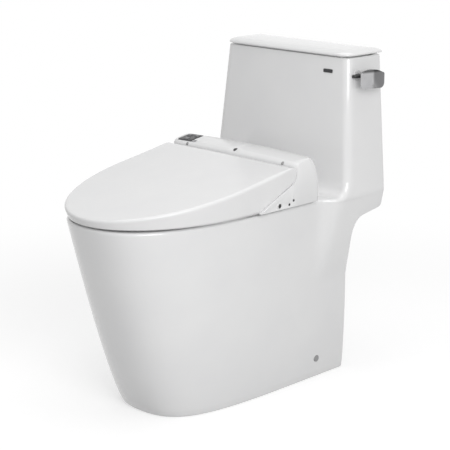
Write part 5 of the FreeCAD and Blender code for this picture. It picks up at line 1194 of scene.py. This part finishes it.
# %% China and seat
add_finish("china", "glazed_china", (0.83, 0.83, 0.83), (0.80, 0.80, 0.805), 7, 45, 0.10, 0.15, 0.05,
           Coat_Weight=0.5, Coat_Roughness=0.04)
add_finish("seat_plastic", "gloss_seat_plastic", (0.84, 0.84, 0.84), (0.815, 0.815, 0.82), 11, 140,
           0.20, 0.24, 0.015)
add_finish("nozzle_plastic", "nozzle_plastic", (0.80, 0.80, 0.80), (0.76, 0.76, 0.77), 40, 500, 0.2, 0.3, 0.1)

# %% [markdown]
# The controls are dark: a satin panel, buttons a shade lighter so that they can be
# told apart, and a smoked window. Caps and pads are grey, and rubber is matt.

# %% Controls, caps and pads
add_finish("panel", "dark_gloss_panel", (0.020, 0.020, 0.022), (0.032, 0.032, 0.035), 40, 300, 0.30, 0.42, 0.08)
add_finish("buttons", "button_plastic", (0.13, 0.13, 0.135), (0.17, 0.17, 0.175), 90, 700, 0.25, 0.4, 0.15)
add_finish("window", "smoked_window", (0.26, 0.26, 0.27), (0.32, 0.32, 0.33), 90, 400, 0.08, 0.16, 0.05,
           Coat_Weight=0.5)
add_finish("black_plastic", "black_moulding", (0.022, 0.022, 0.023), (0.035, 0.035, 0.036), 80, 900,
           0.32, 0.5, 0.2)
add_finish("small_caps", "grey_cap_plastic", (0.34, 0.34, 0.34), (0.28, 0.28, 0.285), 120, 900, 0.3, 0.45, 0.15)
add_finish("soft_pads", "grey_rubber_pads", (0.60, 0.60, 0.59), (0.52, 0.52, 0.51), 60, 900, 0.6, 0.8, 0.3)

# %% [markdown]
# Inside the tank and the housing are plain working plastics with a visible grain,
# and a milky tube that lets some light through.

# %% Plastics inside
add_finish("structure_plastic", "structural_plastic", (0.66, 0.66, 0.66), (0.60, 0.60, 0.605), 30, 700,
           0.4, 0.55, 0.25)
add_finish("valve_plastic", "valve_plastic", (0.74, 0.75, 0.76), (0.68, 0.69, 0.71), 40, 600, 0.35, 0.5, 0.2)
add_finish("trip_plastic", "trip_arm_plastic", (0.68, 0.68, 0.68), (0.62, 0.62, 0.62), 50, 700, 0.4, 0.55, 0.2)
add_finish("clear_tube", "milky_tube", (0.74, 0.78, 0.80), (0.66, 0.70, 0.73), 50, 400, 0.15, 0.3, 0.1,
           Transmission_Weight=0.6, IOR=1.45)

# %% [markdown]
# Steel is brushed along one direction, brass is cast and a little rough, and
# chrome is nearly a mirror.

# %% Metals
add_finish("steel", "brushed_steel", (0.58, 0.58, 0.59), (0.48, 0.48, 0.49), 50, 500, 0.22, 0.42, 0.15,
           stretch=(1, 1, 12), Metallic=1.0)
add_finish("brass", "cast_brass", (0.70, 0.52, 0.24), (0.55, 0.38, 0.16), 60, 700, 0.25, 0.45, 0.2, Metallic=1.0)
add_finish("chrome", "polished_chrome", (0.52, 0.52, 0.53), (0.44, 0.44, 0.45), 25, 60, 0.04, 0.10, 0.03,
           Metallic=1.0)

# %% [markdown]
# A circuit board is green lacquer over copper tracks. A brick pattern stands in
# for the tracks: its mortar lines are the lighter copper seen through the lacquer.

# %% Circuit board
track_scale, track_width, track_colour = 70.0, 0.03, (0.16, 0.42, 0.16, 1)
add_finish("board", "green_board", (0.03, 0.20, 0.08), (0.02, 0.15, 0.06), 60, 500, 0.3, 0.45, 0.1)
board_tree = finishes["board"].node_tree
tracks = board_tree.nodes.new("ShaderNodeTexBrick")
tracks.inputs["Scale"].default_value = track_scale
tracks.inputs["Mortar Size"].default_value = track_width
tracks.inputs["Mortar"].default_value = track_colour
board_place = board_tree.nodes.new("ShaderNodeTexCoord")
board_tree.links.new(board_place.outputs["Object"], tracks.inputs["Vector"])
board_tree.links.new(finish_node(board_tree).outputs["Colour"], tracks.inputs["Color1"])
board_tree.links.new(finish_node(board_tree).outputs["Colour"], tracks.inputs["Color2"])
board_tree.links.new(tracks.outputs["Color"], board_tree.nodes["Principled BSDF"].inputs["Base Color"])

# %% [markdown]
# A mirror finish shows the room. The paddle's rear half and its top edge look into
# the dark part of the studio, so a painted reflection darkens the metal's colour there along the paddle.

# %% Chrome
# Painted reflection: the depths and heights where the chrome's colour is darkened, in place of the dark studio
# it would mirror.
painted_reflection_depths, painted_reflection_depth_tone = (217.0, 226.0), 0.42
painted_reflection_heights, painted_reflection_height_tone = (701.0, 707.0), 0.25
chrome_tree = finishes["chrome"].node_tree
chrome_place = chrome_tree.nodes.new("ShaderNodeTexCoord")
along_paddle = chrome_tree.nodes.new("ShaderNodeSeparateXYZ")
chrome_tree.links.new(chrome_place.outputs["Object"], along_paddle.inputs["Vector"])


def fade_along(axis, places, low):
    """A factor that falls from 1 to a low value between two places on an axis."""
    fall = chrome_tree.nodes.new("ShaderNodeMapRange")
    fall.interpolation_type = "SMOOTHSTEP"
    fall.inputs["From Min"].default_value = places[0] * MM
    fall.inputs["From Max"].default_value = places[1] * MM
    fall.inputs["To Min"].default_value = 1.0
    fall.inputs["To Max"].default_value = low
    chrome_tree.links.new(along_paddle.outputs[axis], fall.inputs["Value"])
    return fall.outputs["Result"]


# Painted reflection: these factors scale the chrome's colour down towards the paddle's rear and its top edge.
both = chrome_tree.nodes.new("ShaderNodeMath")
both.operation = "MULTIPLY"
chrome_tree.links.new(fade_along("Y", painted_reflection_depths, painted_reflection_depth_tone), both.inputs[0])
chrome_tree.links.new(fade_along("Z", painted_reflection_heights, painted_reflection_height_tone), both.inputs[1])
painted_reflection = chrome_tree.nodes.new("ShaderNodeVectorMath")
painted_reflection.operation = "SCALE"
chrome_tree.links.new(finish_node(chrome_tree).outputs["Colour"], painted_reflection.inputs[0])
chrome_tree.links.new(both.outputs["Value"], painted_reflection.inputs["Scale"])
chrome_tree.links.new(painted_reflection.outputs["Vector"], chrome_tree.nodes["Principled BSDF"].inputs["Base Color"])

# %% [markdown]
# Each piece was noted with its slot when it was made. Now that all finishes exist,
# every piece gets the one that its slot names.

# %% Dress every piece
for piece, slot_name in dressed:
    piece.data.materials.clear()
    piece.data.materials.append(finishes[slot_name])
print("pieces dressed:", len(dressed), "finishes:", len(finishes))

# %% [markdown]
# The studio: a pale floor that takes the shadow, a white surround that the camera
# and every reflection sees, and soft lamps. The floor is one large square. It is
# part of the stage, so it stays out of the object's own measurements.

# %% Floor
floor_half, floor_tone, floor_roughness = 30.0, 0.62, 0.9
floor_mesh = bmesh.new()
bmesh.ops.create_grid(floor_mesh, x_segments=1, y_segments=1, size=floor_half)
floor_data = bpy.data.meshes.new("studio_floor")
floor_mesh.to_mesh(floor_data)
floor_mesh.free()
floor = bpy.data.objects.new("studio_floor", floor_data)
bpy.context.scene.collection.objects.link(floor)
floor_material = bpy.data.materials.new("white_floor")
floor_material.use_nodes = True
floor_data.materials.append(floor_material)
floor_tree = floor_material.node_tree
floor_link = floor_tree.links.new
matt = floor_tree.nodes["Principled BSDF"]
matt.inputs["Base Color"].default_value = (floor_tone, floor_tone, floor_tone, 1)
matt.inputs["Roughness"].default_value = floor_roughness
matt.inputs["Specular IOR Level"].default_value = 0.0
print("floor:", 2 * floor_half, "metres wide")

# %% [markdown]
# The camera should see a white page, but the object should not be lit by it. A
# light path tells who is looking: the camera, a mirror or glass, which see white,
# or the soft light of the room, which sees the real grey.

# %% Who sees the white
def seen_directly(tree):
    """1 for camera, mirror and glass rays, which should see the white surround."""
    path = tree.nodes.new("ShaderNodeLightPath")
    either = tree.nodes.new("ShaderNodeMath")
    either.operation = "MAXIMUM"
    tree.links.new(path.outputs["Is Camera Ray"], either.inputs[0])
    tree.links.new(path.outputs["Is Glossy Ray"], either.inputs[1])
    any_of = tree.nodes.new("ShaderNodeMath")
    any_of.operation = "MAXIMUM"
    tree.links.new(either.outputs["Value"], any_of.inputs[0])
    tree.links.new(path.outputs["Is Transmission Ray"], any_of.inputs[1])
    return any_of.outputs["Value"]


# %% [markdown]
# Near the object the floor is matt with a little light of its own, so that it
# keeps the shadow and still reads as white. Farther out it fades to plain white
# and meets the surround without a line.

# %% Floor's light and its fade
floor_lift, plain_strength = 0.52, 1.0
near_reach, far_reach = 0.7, 1.6
lift = floor_tree.nodes.new("ShaderNodeEmission")
lift.inputs["Strength"].default_value = floor_lift
lifted = floor_tree.nodes.new("ShaderNodeAddShader")
floor_link(matt.outputs["BSDF"], lifted.inputs[0])
floor_link(lift.outputs["Emission"], lifted.inputs[1])
plain = floor_tree.nodes.new("ShaderNodeEmission")
plain.inputs["Strength"].default_value = plain_strength
floor_place = floor_tree.nodes.new("ShaderNodeTexCoord")
reach = floor_tree.nodes.new("ShaderNodeVectorMath")
reach.operation = "LENGTH"
floor_link(floor_place.outputs["Object"], reach.inputs[0])
fade = floor_tree.nodes.new("ShaderNodeMapRange")
fade.interpolation_type = "SMOOTHSTEP"
fade.inputs["From Min"].default_value = near_reach
fade.inputs["From Max"].default_value = far_reach
floor_link(reach.outputs["Value"], fade.inputs["Value"])
shown = floor_tree.nodes.new("ShaderNodeMixShader")
floor_link(fade.outputs["Result"], shown.inputs["Fac"])
floor_link(lifted.outputs["Shader"], shown.inputs[1])
floor_link(plain.outputs["Emission"], shown.inputs[2])
choice = floor_tree.nodes.new("ShaderNodeMixShader")
floor_link(seen_directly(floor_tree), choice.inputs["Fac"])
floor_link(matt.outputs["BSDF"], choice.inputs[1])
floor_link(shown.outputs["Shader"], choice.inputs[2])
floor_link(choice.outputs["Shader"], floor_tree.nodes["Material Output"].inputs["Surface"])
print("floor nodes:", len(floor_tree.nodes))

# %% [markdown]
# The surround is white to the eye and a dimmer grey as a source of light, so that
# it fills the shadows without washing out the form.

# %% Surround
surround_strength, white_strength = 0.43, 1.0
world = bpy.data.worlds.new("studio")
bpy.context.scene.world = world
world.use_nodes = True
world_tree = world.node_tree
backdrop = world_tree.nodes["Background"]
backdrop.inputs["Color"].default_value = (1, 1, 1, 1)
level = world_tree.nodes.new("ShaderNodeMapRange")
level.inputs["To Min"].default_value = surround_strength
level.inputs["To Max"].default_value = white_strength
world_tree.links.new(seen_directly(world_tree), level.inputs["Value"])
world_tree.links.new(level.outputs["Result"], backdrop.inputs["Strength"])
bpy.context.scene.view_settings.view_transform = "Standard"
print("surround as a light:", surround_strength)

# %% [markdown]
# Two large soft lamps give the form. One stands at the front right and lights the
# side that the camera sees. The other hangs high above and lights the seat lid,
# the housing and the tank lid.

# %% Lamps
def softbox(name, place, target, size, power):
    data = bpy.data.lights.new(name, "AREA")
    data.shape = "RECTANGLE"
    data.size, data.size_y = size
    data.energy = power
    light = bpy.data.objects.new(name, data)
    light.location = place
    light.rotation_euler = (Vector(target) - Vector(place)).to_track_quat("-Z", "Y").to_euler()
    bpy.context.scene.collection.objects.link(light)
    print(name, "at", place, "with", power, "watts")


softbox("softbox_right", place=(2.0, -1.1, 1.4), target=(0, 0, 0.4), size=(1.4, 1.4), power=29)
softbox("softbox_top", place=(-0.1, 0.1, 3.4), target=(0, -0.05, 0.4), size=(2.6, 2.6), power=29)
